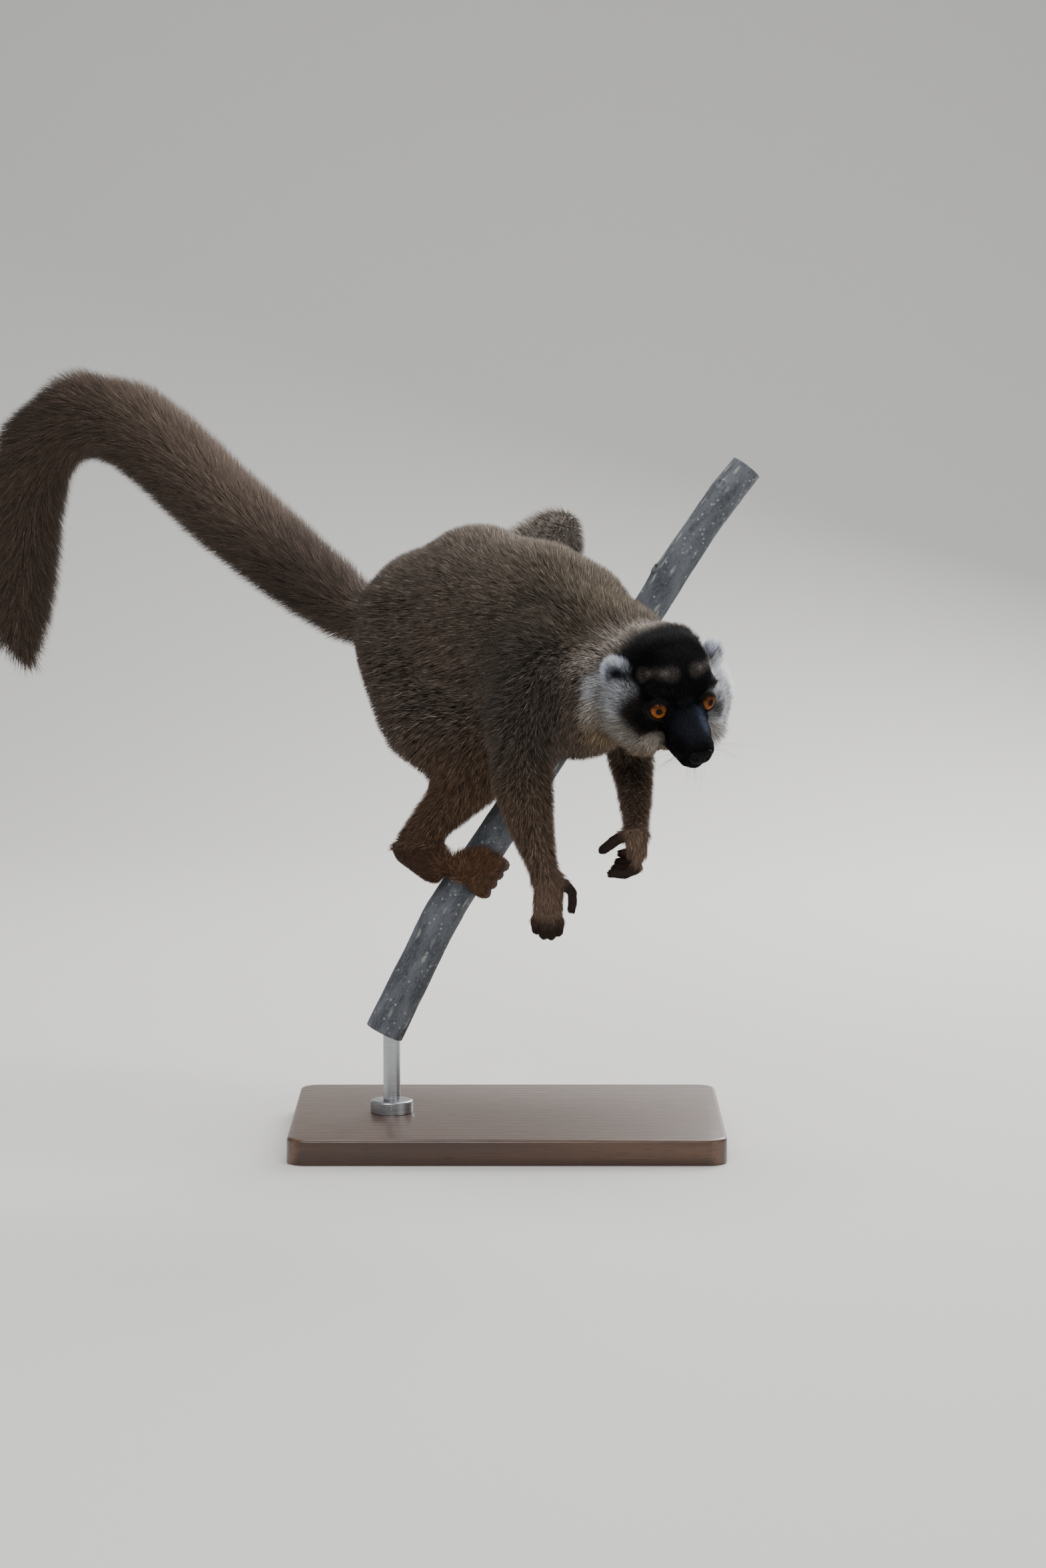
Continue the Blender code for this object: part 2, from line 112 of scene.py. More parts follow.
# Growth rings about 9 mm apart run along the plate, bent by slow waves. The pores in them are drawn
# 0.7 mm wide, coarser than real ones, so that they can be seen.
along = add(tree, "ShaderNodeMapping", {"Vector": place, "Scale": (0.07, 1.0, 1.6)})
rings = add(tree, "ShaderNodeTexWave", {"Vector": along.outputs[0], "Scale": 34.0, "Distortion": 7.0,
                                        "Detail": 3.0, "Detail Scale": 0.6, "Detail Roughness": 0.6},
            wave_type="BANDS", bands_direction="Y")
pore_place = add(tree, "ShaderNodeMapping", {"Vector": place, "Scale": (60.0, 1400.0, 1400.0)})
pores = add(tree, "ShaderNodeTexNoise", {"Vector": pore_place.outputs[0], "Scale": 1.0, "Detail": 2.0})
tone = add(tree, "ShaderNodeMix", {0: rings.outputs["Fac"], 6: linear("3a2417"), 7: linear("5f402b")},
           data_type="RGBA")
pore_mask = add(tree, "ShaderNodeMapRange", {0: pores.outputs["Fac"], 1: 0.56, 2: 0.70, 4: 0.75})
tone = add(tree, "ShaderNodeMix", {0: pore_mask.outputs[0], 6: tone.outputs[2], 7: linear("1d110a")},
           data_type="RGBA")
sheen = add(tree, "ShaderNodeMapRange", {0: pores.outputs["Fac"], 1: 0.3, 2: 0.7, 3: 0.34, 4: 0.46})
dents = add(tree, "ShaderNodeBump", {"Height": pores.outputs["Fac"], "Strength": 0.25,
                                     "Distance": 0.2 * MM})
wire(tree, shader, Base_Color=tone.outputs[2], Roughness=sheen.outputs[0], Normal=dents.outputs[0])

low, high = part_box("stand_base")
plate_size = high - low
clay = bmesh.new()
bmesh.ops.create_cube(clay, size=1, matrix=Matrix.Translation((low + high) / 2)
                      @ Matrix.Diagonal((*plate_size, 1)))
# The upright corners are rounded first, then the top edge is eased, then the bottom one.
ROUNDED = ((lambda a, b: abs(a.z - b.z) > MM, 14 * MM, 12),
           (lambda a, b: min(a.z, b.z) > high.z - 0.1 * MM, 2.4 * MM, 4),
           (lambda a, b: max(a.z, b.z) < low.z + 0.1 * MM, 0.8 * MM, 2))
for is_chosen, size, segments in ROUNDED:
    chosen = [edge for edge in clay.edges if is_chosen(edge.verts[0].co, edge.verts[1].co)]
    bmesh.ops.bevel(clay, geom=chosen, offset=size, segments=segments, affect="EDGES", profile=0.5)
plate = new_piece("base_plate", mesh_from(clay, "base_plate"), walnut, ["stand_base"])
plate.data.set_sharp_from_angle(angle=math.radians(30))

# ---------------------------------------------------------------- stand: rod and collar
# One round bar of stainless steel holds the branch. It is turned on a lathe, brushed, and set in a
# collar that is let down on the plate and fixed by a small socket screw in its side.

steel, tree, shader = new_material("brushed stainless steel", Metallic=1.0)
place = add(tree, "ShaderNodeTexCoord").outputs["Object"]
# Turning marks are drawn 0.4 mm apart, coarser than real ones, so that they can be seen.
marks_place = add(tree, "ShaderNodeMapping", {"Vector": place, "Scale": (60.0, 60.0, 2500.0)})
marks = add(tree, "ShaderNodeTexNoise", {"Vector": marks_place.outputs[0], "Scale": 1.0, "Detail": 3.0})
tone = add(tree, "ShaderNodeMix", {0: marks.outputs["Fac"], 6: linear("8f9296"), 7: linear("c4c6c8")},
           data_type="RGBA")
dull = add(tree, "ShaderNodeMapRange", {0: marks.outputs["Fac"], 1: 0.3, 2: 0.7, 3: 0.24, 4: 0.38})
dents = add(tree, "ShaderNodeBump", {"Height": marks.outputs["Fac"], "Strength": 0.15,
                                     "Distance": 0.1 * MM})
wire(tree, shader, Base_Color=tone.outputs[2], Roughness=dull.outputs[0], Normal=dents.outputs[0])


def turned(name, centre, profile, steps=64):
    """A body of revolution round an upright axis; the profile is a closed loop of (radius, height)."""
    clay = bmesh.new()
    loop = [clay.verts.new((radius, 0, height)) for radius, height in profile]
    edges = [clay.edges.new((a, b)) for a, b in zip(loop, loop[1:] + loop[:1])]
    bmesh.ops.spin(clay, geom=loop + edges, cent=(0, 0, 0), axis=(0, 0, 1), angle=2 * math.pi,
                   steps=steps, use_merge=True)
    bmesh.ops.remove_doubles(clay, verts=clay.verts, dist=0.001 * MM)
    bmesh.ops.recalc_face_normals(clay, faces=clay.faces)
    bmesh.ops.translate(clay, verts=clay.verts, vec=(centre.x, centre.y, 0))
    mesh = mesh_from(clay, name)
    mesh.set_sharp_from_angle(angle=math.radians(25))
    return mesh


low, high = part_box("stand_rod")
rod_place, rod_radius = (low + high) / 2, (high.x - low.x) / 2
bevel = 0.5 * MM
rod_mesh = turned("rod", rod_place, (
    (0, low.z), (rod_radius - bevel, low.z), (rod_radius, low.z + bevel),
    (rod_radius, high.z - bevel), (rod_radius - bevel, high.z), (0, high.z)))
new_piece("rod", rod_mesh, steel, ["stand_rod"])
low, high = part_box("stand_collar")
collar_radius, bore, bevel = (high.x - low.x) / 2, rod_radius + 0.1 * MM, 1.2 * MM
collar_mesh = turned("collar", rod_place, (
    (bore, low.z), (collar_radius, low.z), (collar_radius, high.z - bevel),
    (collar_radius - 0.35 * bevel, high.z - 0.35 * bevel), (collar_radius - bevel, high.z),
    (bore + 0.4 * MM, high.z), (bore, high.z - 0.4 * MM)))
new_piece("collar", collar_mesh, steel, ["stand_collar"])
screw_place = Vector((rod_place.x, rod_place.y - collar_radius, (low.z + high.z) / 2))
clay = bmesh.new()
sideways_turn = Matrix.Rotation(math.radians(90), 4, "X")
bmesh.ops.create_cone(clay, cap_ends=True, segments=32, radius1=2.0 * MM, radius2=1.7 * MM,
                      depth=1.2 * MM, matrix=Matrix.Translation(screw_place) @ sideways_turn)
front = max(clay.faces, key=lambda face: -face.calc_center_median().y)
bmesh.ops.inset_individual(clay, faces=[front], thickness=0.7 * MM)
bmesh.ops.translate(clay, verts=front.verts, vec=(0, 1.0 * MM, 0))
new_piece("collar_screw", mesh_from(clay, "collar_screw"), steel, smooth=False)

# ---------------------------------------------------------------- perch: cut length of branch
# A living forest branch with thin grey bark, old leaf scars and flakes of pale lichen. It is sawn off
# square at both ends, and its lower end is bored and pushed down on the steel bar.

BRANCH_ROUTE = [Vector(place) * MM for place in (
    (-86, -4, 75), (-63, -3, 122), (-42, -1, 163), (-8, 3, 213), (51, 10, 301),
    (100, 16, 372), (121, 20, 405), (152, 26, 449), (167, 29, 468))]
BRANCH_RADII = (13.5 * MM, 11.1 * MM)
RING_STEP, RING_SIDES = 1.3 * MM, 112


def smooth_route(places, step):
    """Evenly spaced points along a smooth curve through the places."""
    curve = bpy.data.curves.new("route", "CURVE")
    curve.dimensions = "3D"
    curve.resolution_u = 40
    spline = curve.splines.new("BEZIER")
    spline.bezier_points.add(len(places) - 1)
    for point, place in zip(spline.bezier_points, places):
        point.co = place
        point.handle_left_type = point.handle_right_type = "AUTO"
    holder = bpy.data.objects.new("route", curve)
    mesh = holder.to_mesh()
    points = np.array([vert.co for vert in mesh.vertices])
    holder.to_mesh_clear()
    bpy.data.objects.remove(holder)
    run = np.concatenate([[0], np.cumsum(np.linalg.norm(np.diff(points, axis=0), axis=1))])
    even = np.linspace(0, run[-1], int(run[-1] / step) + 1)
    return np.stack([np.interp(even, run, points[:, axis]) for axis in range(3)], axis=1), even


def unit(vectors):
    return vectors / np.maximum(np.linalg.norm(vectors, axis=-1, keepdims=True), 1e-12)


def bump_at(value, centre, spread):
    """A smooth rise of height 1 round a centre."""
    return np.exp(-((value - centre) / spread) ** 2)


def mesh_of(name, points, faces_by_size):
    """A mesh from an array of points and arrays of faces, all faces of one array the same size."""
    mesh = bpy.data.meshes.new(name)
    mesh.vertices.add(len(points))
    mesh.vertices.foreach_set("co", np.ascontiguousarray(points, np.float32).ravel())
    corners = np.concatenate([faces.ravel() for faces in faces_by_size])
    sizes = np.concatenate([np.full(len(faces), faces.shape[1]) for faces in faces_by_size])
    mesh.loops.add(len(corners))
    mesh.loops.foreach_set("vertex_index", corners.astype(np.int32))
    mesh.polygons.add(len(sizes))
    starts = np.concatenate([[0], np.cumsum(sizes)[:-1]])
    mesh.polygons.foreach_set("loop_start", starts.astype(np.int32))
    mesh.update(calc_edges=True)
    return mesh


def smooth_noise(points, size, seed):
    """Soft noise between about -1 and 1, with features of the given size."""
    shift = Vector((seed * 7.3, seed * 3.1, seed * 5.7))
    return np.array([noise.noise(Vector(point) / size + shift) for point in points])


centres, run = smooth_route(BRANCH_ROUTE, RING_STEP)
ways = unit(np.gradient(centres, axis=0))
fronts = unit(np.array([0, -1, 0]) - ways * ways[:, 1:2] * -1)
sides = np.cross(ways, fronts)
turn = np.arange(RING_SIDES) / RING_SIDES * 2 * math.pi
outwards = fronts[:, None] * np.cos(turn)[None, :, None] + sides[:, None] * np.sin(turn)[None, :, None]
length = run[-1]
radius = np.repeat((BRANCH_RADII[0] + (BRANCH_RADII[1] - BRANCH_RADII[0]) * run / length)[:, None],
                   RING_SIDES, axis=1)
# Old nodes swell the branch a little; each has a leaf scar: a raised lip round a sunken oval.
SCARS = ((0.955, -40), (0.80, -75), (0.62, 140), (0.43, 35), (0.20, -20))  # share of length, degrees
around = (turn + math.pi) % (2 * math.pi) - math.pi
for share, angle in SCARS:
    up = run[:, None] - share * length
    across = ((around - math.radians(angle) + math.pi) % (2 * math.pi) - math.pi)[None, :] * radius
    radius = radius + 0.7 * MM * bump_at(up, -2 * MM, 9 * MM) * (0.55 + 0.45 * np.cos(across / radius))
    oval = np.sqrt((across / (4.6 * MM)) ** 2 + (up / (3.0 * MM)) ** 2)
    radius = radius + 1.0 * MM * bump_at(oval, 1.0, 0.30) - 0.5 * MM * bump_at(oval, 0.0, 0.65)
    below = np.clip(-up / (70 * MM), 0, 1)
    ridge = np.where(up < -2 * MM, (1 - below) ** 1.5, 0) * bump_at(across, 0.8 * MM, 1.0 * MM)
    radius = radius + 0.45 * MM * ridge
points = centres[:, None] + outwards * radius[:, :, None]
flat = points.reshape(-1, 3)
stretched = np.stack([np.repeat(run, RING_SIDES) * 0.35,
                      np.tile(np.cos(turn), len(run)) * radius.ravel(),
                      np.tile(np.sin(turn), len(run)) * radius.ravel()], axis=1)
lumps = 0.35 * smooth_noise(stretched, 9 * MM, 1) + 0.16 * smooth_noise(stretched, 2.6 * MM, 2)
flat = flat + outwards.reshape(-1, 3) * (lumps * MM)[:, None]


def tube_faces(rings, sides):
    """Quads of a tube of rings, numbered ring by ring."""
    ring = np.arange(rings - 1)[:, None] * sides
    here = np.arange(sides)[None, :]
    ahead = (here + 1) % sides
    return np.stack([ring + here, ring + ahead, ring + ahead + sides, ring + here + sides],
                    axis=-1).reshape(-1, 4)


# Each sawn end goes from a worn edge of bark to the pith: (share of the radius, step outwards).
SAWN_END = ((0.975, 0.5 * MM), (0.91, 0.6 * MM), (0.6, 0.6 * MM), (0.25, 0.6 * MM), (0.0, 0.6 * MM))
tube = flat.reshape(len(run), RING_SIDES, 3)
lower = [centres[0] + (tube[0] - centres[0]) * share - ways[0] * step for share, step in SAWN_END]
upper = [centres[-1] + (tube[-1] - centres[-1]) * share + ways[-1] * step for share, step in SAWN_END]
tube = np.concatenate([np.array(lower[::-1]), tube, np.array(upper)])
branch_mesh = mesh_of("branch", tube.reshape(-1, 3), [tube_faces(len(tube), RING_SIDES)])
# The bark's pattern runs along the branch: its map is in metres along and round the branch.
ring_runs = np.concatenate([np.full(len(SAWN_END), run[0]), run, np.full(len(SAWN_END), run[-1])])
map_points = np.stack([np.repeat(ring_runs, RING_SIDES),
                       np.tile(np.cos(turn) * BRANCH_RADII[0], len(tube)),
                       np.tile(np.sin(turn) * BRANCH_RADII[0], len(tube))], axis=1)
along_branch = branch_mesh.attributes.new("along_branch", "FLOAT_VECTOR", "POINT")
along_branch.data.foreach_set("vector", map_points.astype(np.float32).ravel())
wood_rings = len(SAWN_END) - 1
is_wood = np.zeros(len(tube) - 1, dtype=np.int32)
is_wood[:wood_rings - 1] = is_wood[-(wood_rings - 1):] = 1
wood_faces = np.repeat(is_wood, RING_SIDES)

bark, tree, shader = new_material("grey bark with lichen")
way_along = add(tree, "ShaderNodeAttribute", attribute_name="along_branch").outputs["Vector"]
place = add(tree, "ShaderNodeTexCoord").outputs["Object"]
long_place = add(tree, "ShaderNodeMapping", {"Vector": way_along, "Scale": (1.0, 3.2, 3.2)}).outputs[0]
# Bark tone varies in soft patches 20 mm long, with fine cracks along the branch.
patch = add(tree, "ShaderNodeTexNoise", {"Vector": long_place, "Scale": 42.0,
                                         "Detail": 4.0}).outputs["Fac"]
grain = add(tree, "ShaderNodeTexNoise", {"Vector": long_place, "Scale": 420.0, "Detail": 5.0,
                                         "Roughness": 0.65}).outputs["Fac"]
patch_mask = add(tree, "ShaderNodeMapRange", {0: patch, 1: 0.38, 2: 0.62}).outputs[0]
tone = add(tree, "ShaderNodeMix", {0: patch_mask, 6: linear("303338"), 7: linear("5a5e63")},
           data_type="RGBA").outputs[2]
grain_mask = add(tree, "ShaderNodeMapRange", {0: grain, 1: 0.40, 2: 0.64, 4: 0.55}).outputs[0]
tone = add(tree, "ShaderNodeMix", {0: grain_mask, 6: tone, 7: linear("71747b")},
           data_type="RGBA").outputs[2]
# Lichen: crusts 3 to 8 mm long whose ragged edges come from noise added to their distance.
ragged = add(tree, "ShaderNodeTexNoise", {"Vector": place, "Scale": 520.0,
                                          "Detail": 4.0}).outputs["Fac"]
cells = add(tree, "ShaderNodeTexVoronoi", {"Vector": long_place, "Scale": 62.0, "Randomness": 1.0},
            feature="F1")
edge = add(tree, "ShaderNodeMath", {0: ragged, 1: 0.42, 2: cells.outputs["Distance"]},
           operation="MULTIPLY_ADD").outputs[0]
crust = add(tree, "ShaderNodeMapRange", {0: edge, 1: 0.56, 2: 0.34}).outputs[0]
chosen = add(tree, "ShaderNodeSeparateColor", {0: cells.outputs["Color"]}).outputs[0]
chosen = add(tree, "ShaderNodeMapRange", {0: chosen, 1: 0.50, 2: 0.56}).outputs[0]
crust = add(tree, "ShaderNodeMath", {0: crust, 1: chosen}, operation="MULTIPLY").outputs[0]
lichen = add(tree, "ShaderNodeMix", {0: grain, 6: linear("8d9189"), 7: linear("c9cbc2")},
             data_type="RGBA").outputs[2]
crust_share = add(tree, "ShaderNodeMath", {0: crust, 1: 0.5}, operation="MULTIPLY").outputs[0]
tone = add(tree, "ShaderNodeMix", {0: crust_share, 6: tone, 7: lichen}, data_type="RGBA").outputs[2]
# Both kinds of spots are about 1 mm across: old pores are dark pits, breathing pores pale dots.
# Each row: where, cells in a metre, rim and middle, choosing channel, its range, strength, colour.
SPOTS = ((long_place, 260.0, (0.20, 0.10), 1, (0.72, 0.76), 1.0, "1d1c1d"),
         (place, 300.0, (0.34, 0.16), 2, (0.55, 0.75), 0.6, "a6a9a8"))
spots = []
for where, scale, (outer, inner), channel, (least, most), strength, colour in SPOTS:
    cell = add(tree, "ShaderNodeTexVoronoi", {"Vector": where, "Scale": scale}, feature="F1").outputs
    spot = add(tree, "ShaderNodeMapRange", {0: cell["Distance"], 1: outer, 2: inner}).outputs[0]
    pick = add(tree, "ShaderNodeSeparateColor", {0: cell["Color"]}).outputs[channel]
    pick = add(tree, "ShaderNodeMapRange", {0: pick, 1: least, 2: most, 4: strength}).outputs[0]
    spots.append(add(tree, "ShaderNodeMath", {0: spot, 1: pick}, operation="MULTIPLY").outputs[0])
    tone = add(tree, "ShaderNodeMix", {0: spots[-1], 6: tone, 7: linear(colour)},
               data_type="RGBA").outputs[2]
dull = add(tree, "ShaderNodeMapRange", {0: grain, 1: 0.3, 2: 0.7, 3: 0.72, 4: 0.92}).outputs[0]
height = add(tree, "ShaderNodeMath", {0: crust, 1: 0.5, 2: grain}, operation="MULTIPLY_ADD").outputs[0]
height = add(tree, "ShaderNodeMath", {0: height, 1: spots[0]}, operation="SUBTRACT").outputs[0]
dents = add(tree, "ShaderNodeBump", {"Height": height, "Strength": 0.7, "Distance": 0.6 * MM})
wire(tree, shader, Base_Color=tone, Roughness=dull, Normal=dents.outputs[0])

sawn_wood, tree, shader = new_material("sawn end grain", Roughness=0.8)
place = add(tree, "ShaderNodeTexCoord").outputs["Object"]
# The fibres' ends are drawn about 1.4 mm across, coarser than real ones, so that they can be seen.
fibres = add(tree, "ShaderNodeTexNoise", {"Vector": place, "Scale": 700.0,
                                          "Detail": 3.0}).outputs["Fac"]
tone = add(tree, "ShaderNodeMix", {0: fibres, 6: linear("8f6f4b"), 7: linear("c8ab80")},
           data_type="RGBA").outputs[2]
dents = add(tree, "ShaderNodeBump", {"Height": fibres, "Strength": 0.4, "Distance": 0.3 * MM})
wire(tree, shader, Base_Color=tone, Normal=dents.outputs[0])

clay = bmesh.new()
clay.from_mesh(branch_mesh)
bmesh.ops.remove_doubles(clay, verts=[vert for vert in clay.verts if vert.index < RING_SIDES
                                      or vert.index >= len(clay.verts) - RING_SIDES], dist=0.01 * MM)
clay.to_mesh(branch_mesh)
clay.free()
branch = new_piece("branch", branch_mesh, bark, ["perch_branch"])
branch.data.materials.append(sawn_wood)
branch.data.polygons.foreach_set("material_index", wood_faces)
branch.data.set_sharp_from_angle(angle=math.radians(60))

# ---------------------------------------------------------------- body: skin
# One unbroken skin over the whole animal, under the coat: thin, dark and soft, bare and leathery
# on the palms and soles. It is drawn in from the outline of the coat by the coat's depth, and the
# lids and mouth are folded into it.

LIMBS = [part + "_" + side for side in ("left", "right")
         for part in ("upper_arm", "forearm", "hand", "thigh", "shank", "foot")]
TAIL = ["tail_%d" % number for number in range(1, 6)]
FLESH = ["head", "neck", "trunk"] + TAIL + LIMBS
SKIN_VOXEL = 1.5 * MM


def middle_of(node):
    low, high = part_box(node)
    return (low + high) / 2


# The head's own directions: it looks forward, and the nose lies below the level of the eyes.
NOSE_DROP = math.radians(21.8)
EYE_BEHIND = 6.5  # millimetres from the point between the pupils back to the eyeballs' centres
between_eyes = (middle_of("eye_left") + middle_of("eye_right")) / 2
left = (middle_of("eye_left") - middle_of("eye_right")).normalized()
to_nose = middle_of("nose") - between_eyes
to_nose = (to_nose - left * to_nose.dot(left)).normalized()
over_nose = left.cross(-to_nose)
forward = to_nose * math.cos(NOSE_DROP) + over_nose * math.sin(NOSE_DROP)
above = over_nose * math.cos(NOSE_DROP) - to_nose * math.sin(NOSE_DROP)
HEAD_AXES = np.array([left, forward, above])


def head_point(left_mm, forward_mm, above_mm):
    """A place in the head, in millimetres left, forward and above the point between the pupils."""
    return between_eyes + (left * left_mm + forward * (forward_mm + EYE_BEHIND) + above * above_mm) * MM


def in_head(points):
    """Millimetres to the left, forward and above, for an array of places."""
    offset = (points - np.array(between_eyes)) @ HEAD_AXES.T / MM
    offset[:, 1] -= EYE_BEHIND
    return offset


def merged_node(name, swell):
    """A copy of a node with its corners merged, swollen by an even distance."""
    clay = bmesh.new()
    clay.from_mesh(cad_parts[name].data)
    bmesh.ops.remove_doubles(clay, verts=clay.verts, dist=0.001 * MM)
    clay.normal_update()
    for vert, step in [(vert, vert.normal * swell) for vert in clay.verts]:
        vert.co += step
    return mesh_from(clay, name + "_copy")


def plain_mesh(piece):
    """The mesh that the object's modifiers give; the object is removed."""
    graph = bpy.context.evaluated_depsgraph_get()
    mesh = bpy.data.meshes.new_from_object(piece.evaluated_get(graph), depsgraph=graph)
    bpy.data.objects.remove(piece)
    return mesh


def loose_object(mesh):
    piece = bpy.data.objects.new(mesh.name, mesh)
    bpy.context.scene.collection.objects.link(piece)
    return piece


def values_of(items, name, width, kind=np.float32):
    """One property of a mesh's items as an array with a row for each item."""
    values = np.empty(len(items) * width, kind)
    items.foreach_get(name, values)
    return values.reshape(-1, width)


def corners_of(mesh):
    return values_of(mesh.vertices, "co", 3).astype(float)


def normals_of(mesh):
    return values_of(mesh.vertex_normals, "vector", 3).astype(float)


def edges_of(mesh):
    return values_of(mesh.edges, "vertices", 2, np.int32)


def move_corners(mesh, points):
    mesh.vertices.foreach_set("co", points.astype(np.float32).ravel())
    mesh.update()


def spread(values, edges, steps, share=0.5):
    """Values at corners, averaged with their neighbours' so many times; share may differ by corner."""
    values = np.array(values, float)
    flat = values.reshape(len(values), -1)
    both = np.concatenate([edges, edges[:, ::-1]])
    count = np.maximum(np.bincount(both[:, 0], minlength=len(flat)), 1)[:, None]
    share = np.broadcast_to(np.asarray(share, float).reshape(-1, 1), (len(flat), 1))
    for _ in range(steps):
        mean = np.stack([np.bincount(both[:, 0], weights=column[both[:, 1]], minlength=len(flat))
                         for column in flat.T], axis=1) / count
        flat = flat + (mean - flat) * share
    return flat.reshape(values.shape)


# The outline: every flesh node, swollen over the gaps between them, with the sockets filled. The
# hands are not in it, for they are modelled below in more detail.
clay = bmesh.new()
outline_points, outline_faces, face_owner = [], [], []
for number, name in enumerate(FLESH):
    mesh = merged_node(name, 0.4 * MM)
    if not name.startswith("hand"):
        clay.from_mesh(mesh)
    first = len(outline_points)
    outline_points += [vert.co.copy() for vert in mesh.vertices]
    outline_faces += [[first + corner for corner in face.vertices] for face in mesh.polygons]
    face_owner += [number] * len(mesh.polygons)
    bpy.data.meshes.remove(mesh)
outline = BVHTree.FromPolygons(outline_points, outline_faces)
face_owner = np.array(face_owner)
EYE_RADIUS, LID = 8.0 * MM, 0.9 * MM  # the eyeball, and how thick the lids are over it
EYE_CENTRE = (16.2, -4.4, -2.7)  # millimetres to the side, forward and above
fillers = [((0, 29, -20.5), 7.6), ((0, 22, -26), 9.6)]
for sign in (1, -1):
    fillers += [((sign * EYE_CENTRE[0], *EYE_CENTRE[1:]), EYE_RADIUS / MM + 1.2),
                ((sign * 5, 24, -20.5), 9.2), ((sign * 33, -33, 8.5), 8.0), ((sign * 6, 12, -18), 10.5)]
for place, radius in fillers:
    bmesh.ops.create_uvsphere(clay, u_segments=24, v_segments=16, radius=radius * MM,
                              matrix=Matrix.Translation(head_point(*place)))


def round_branch(start, end, share, along, angle, reach):
    """A place beside the branch: angle 0 is in front of it, 90 on its lower right side."""
    axis = (end - start).normalized()
    front = Vector((0, -1, 0))
    front = (front - axis * front.dot(axis)).normalized()
    lower = front.cross(axis) * -1
    turn = math.radians(angle)
    around = front * math.cos(turn) + lower * math.sin(turn)
    return (start.lerp(end, share) + axis * along * MM + around * reach * MM) / MM


# Fingers and toes: rows of joints (millimetres) with radii. The skin of the hands and feet is
# drawn in on to them, which parts them with deep creases. The palms are rows of two joints.
DIGITS = {
    "hand_right": [[((19.8 + 5.2 * n, -98.5, 174), 3.9),
                    ((19.8 + 5.2 * n, -102.5, 164 + rise * 0.5), 3.6),
                    ((20.2 + 4.9 * n, -96.5, 156 + rise), 3.3),
                    ((20.4 + 4.8 * n, -87, 158 + rise), 3.0)]
                   for n, rise in enumerate((4, 0.5, 0, 2.5))]
    + [[((32, -99, 196), 5.5), ((39, -103, 192), 3.9), ((44, -106, 187), 3.1), ((44.5, -107, 180), 3.0),
        ((43.7, -107, 175.5), 2.8)]],
    "hand_left": [[((89, 6.4 * n - 89, 208), 4.5), ((87.5, 6.4 * n - 89, 201 + n * n), 4.0),
                   ((80 + n, 6.4 * n - 89, 197 + 2 * n + n * n * 0.7), 3.4),
                   ((71.5 + 2.4 * n, 6.4 * n - 89, 197.5 + 1.8 * n + n * n * 0.6), 3.0)]
                  for n in range(4)]
    + [[((84, -84, 228), 6.5), ((77, -86, 222.5), 4.4), ((70, -88, 217), 3.6),
        ((65.5, -88, 213.6), 3.2)]],
}
# Each foot grips the branch between two stations of its route: the share of the way between them,
# the angle of the sole round the branch, and the way and how far the toes close.
GRIPS = {"foot_right": (BRANCH_ROUTE[2], BRANCH_ROUTE[3], 0.58, 0, 1.0),
         "foot_left": (BRANCH_ROUTE[3], BRANCH_ROUTE[5], 0.56, 180, -0.62)}
TOE_JOINTS = ((-8, 24.5, 5.4), (38, 19.8, 4.6), (78, 16.6, 4.2), (118, 17.8, 4.0), (150, 18.4, 3.6))
GREAT_TOE = ((-5, -20, 23.5, 6.5), (-13, -55, 21, 5.4), (-15, -100, 19.2, 4.8), (-12, -145, 18.6, 4.3))
for name, (start, end, share, sole, turn) in GRIPS.items():
    DIGITS[name] = [[(round_branch(start, end, share, along, sole + angle * turn, out), radius)
                     for angle, out, radius in TOE_JOINTS] for along in (-12, -4.2, 3.6, 11)]
    DIGITS[name].append([(round_branch(start, end, share, along, sole + angle * turn, out), radius)
                         for along, angle, out, radius in GREAT_TOE])
PALMS = {"hand_right": [[((x, -97, 198), 8.6), ((x, -97, 178), 8.4)] for x in (24.5, 28, 31.5)]
         + [[((17, -94, 228), 18.4), ((26, -97, 197), 12.3)]],
         "hand_left": [[((88.5, y, 228), 8.2), ((88.5, y, 212), 8.4)] for y in (-84, -79, -74)]
         + [[((88, -48, 248), 15.4), ((88, -80, 224), 11.4)]],
         "foot_right": [], "foot_left": []}


def row_of_balls(joints):
    """Places and radii every millimetre or so along a row of joints."""
    balls = []
    for (a, radius_a), (b, radius_b) in zip(joints, joints[1:]):
        a, b = Vector(a), Vector(b)
        steps = max(int((b - a).length / 1.5), 1)
        balls += [(a.lerp(b, step / steps), radius_a + (radius_b - radius_a) * step / steps)
                  for step in range(steps + 1)]
    return balls


ball_clay = bmesh.new()
bmesh.ops.create_icosphere(ball_clay, subdivisions=2, radius=1.0)
ball_pattern = mesh_from(ball_clay, "ball")
ball_shape = corners_of(ball_pattern)
ball_corners = np.array([face.vertices[:] for face in ball_pattern.polygons])
balls = [ball for table in (DIGITS, PALMS) for rows in table.values() for row in rows
         for ball in row_of_balls(row)]
many = np.concatenate([np.array(place) + ball_shape * radius for place, radius in balls]) * MM
many_faces = np.concatenate([ball_corners + number * len(ball_shape) for number in range(len(balls))])
clay.from_mesh(mesh_of("digits", many, [many_faces]))
body = loose_object(mesh_from(clay, "skin"))
fusing = body.modifiers.new("fuse", "REMESH")
fusing.mode, fusing.voxel_size = "VOXEL", SKIN_VOXEL
skin_mesh = plain_mesh(body)


def owners(points):
    """For each place, the number of the nearest flesh node."""
    return face_owner[[outline.find_nearest(Vector(point))[2] for point in points]]


def belongs(owner, *names):
    """Which corners belong to the named nodes."""
    return np.isin(owner, [FLESH.index(name) for name in names])


def share_of(owner, names):
    """1 at the corners that belong to the named nodes, and 0 elsewhere."""
    return belongs(owner, *names).astype(float)


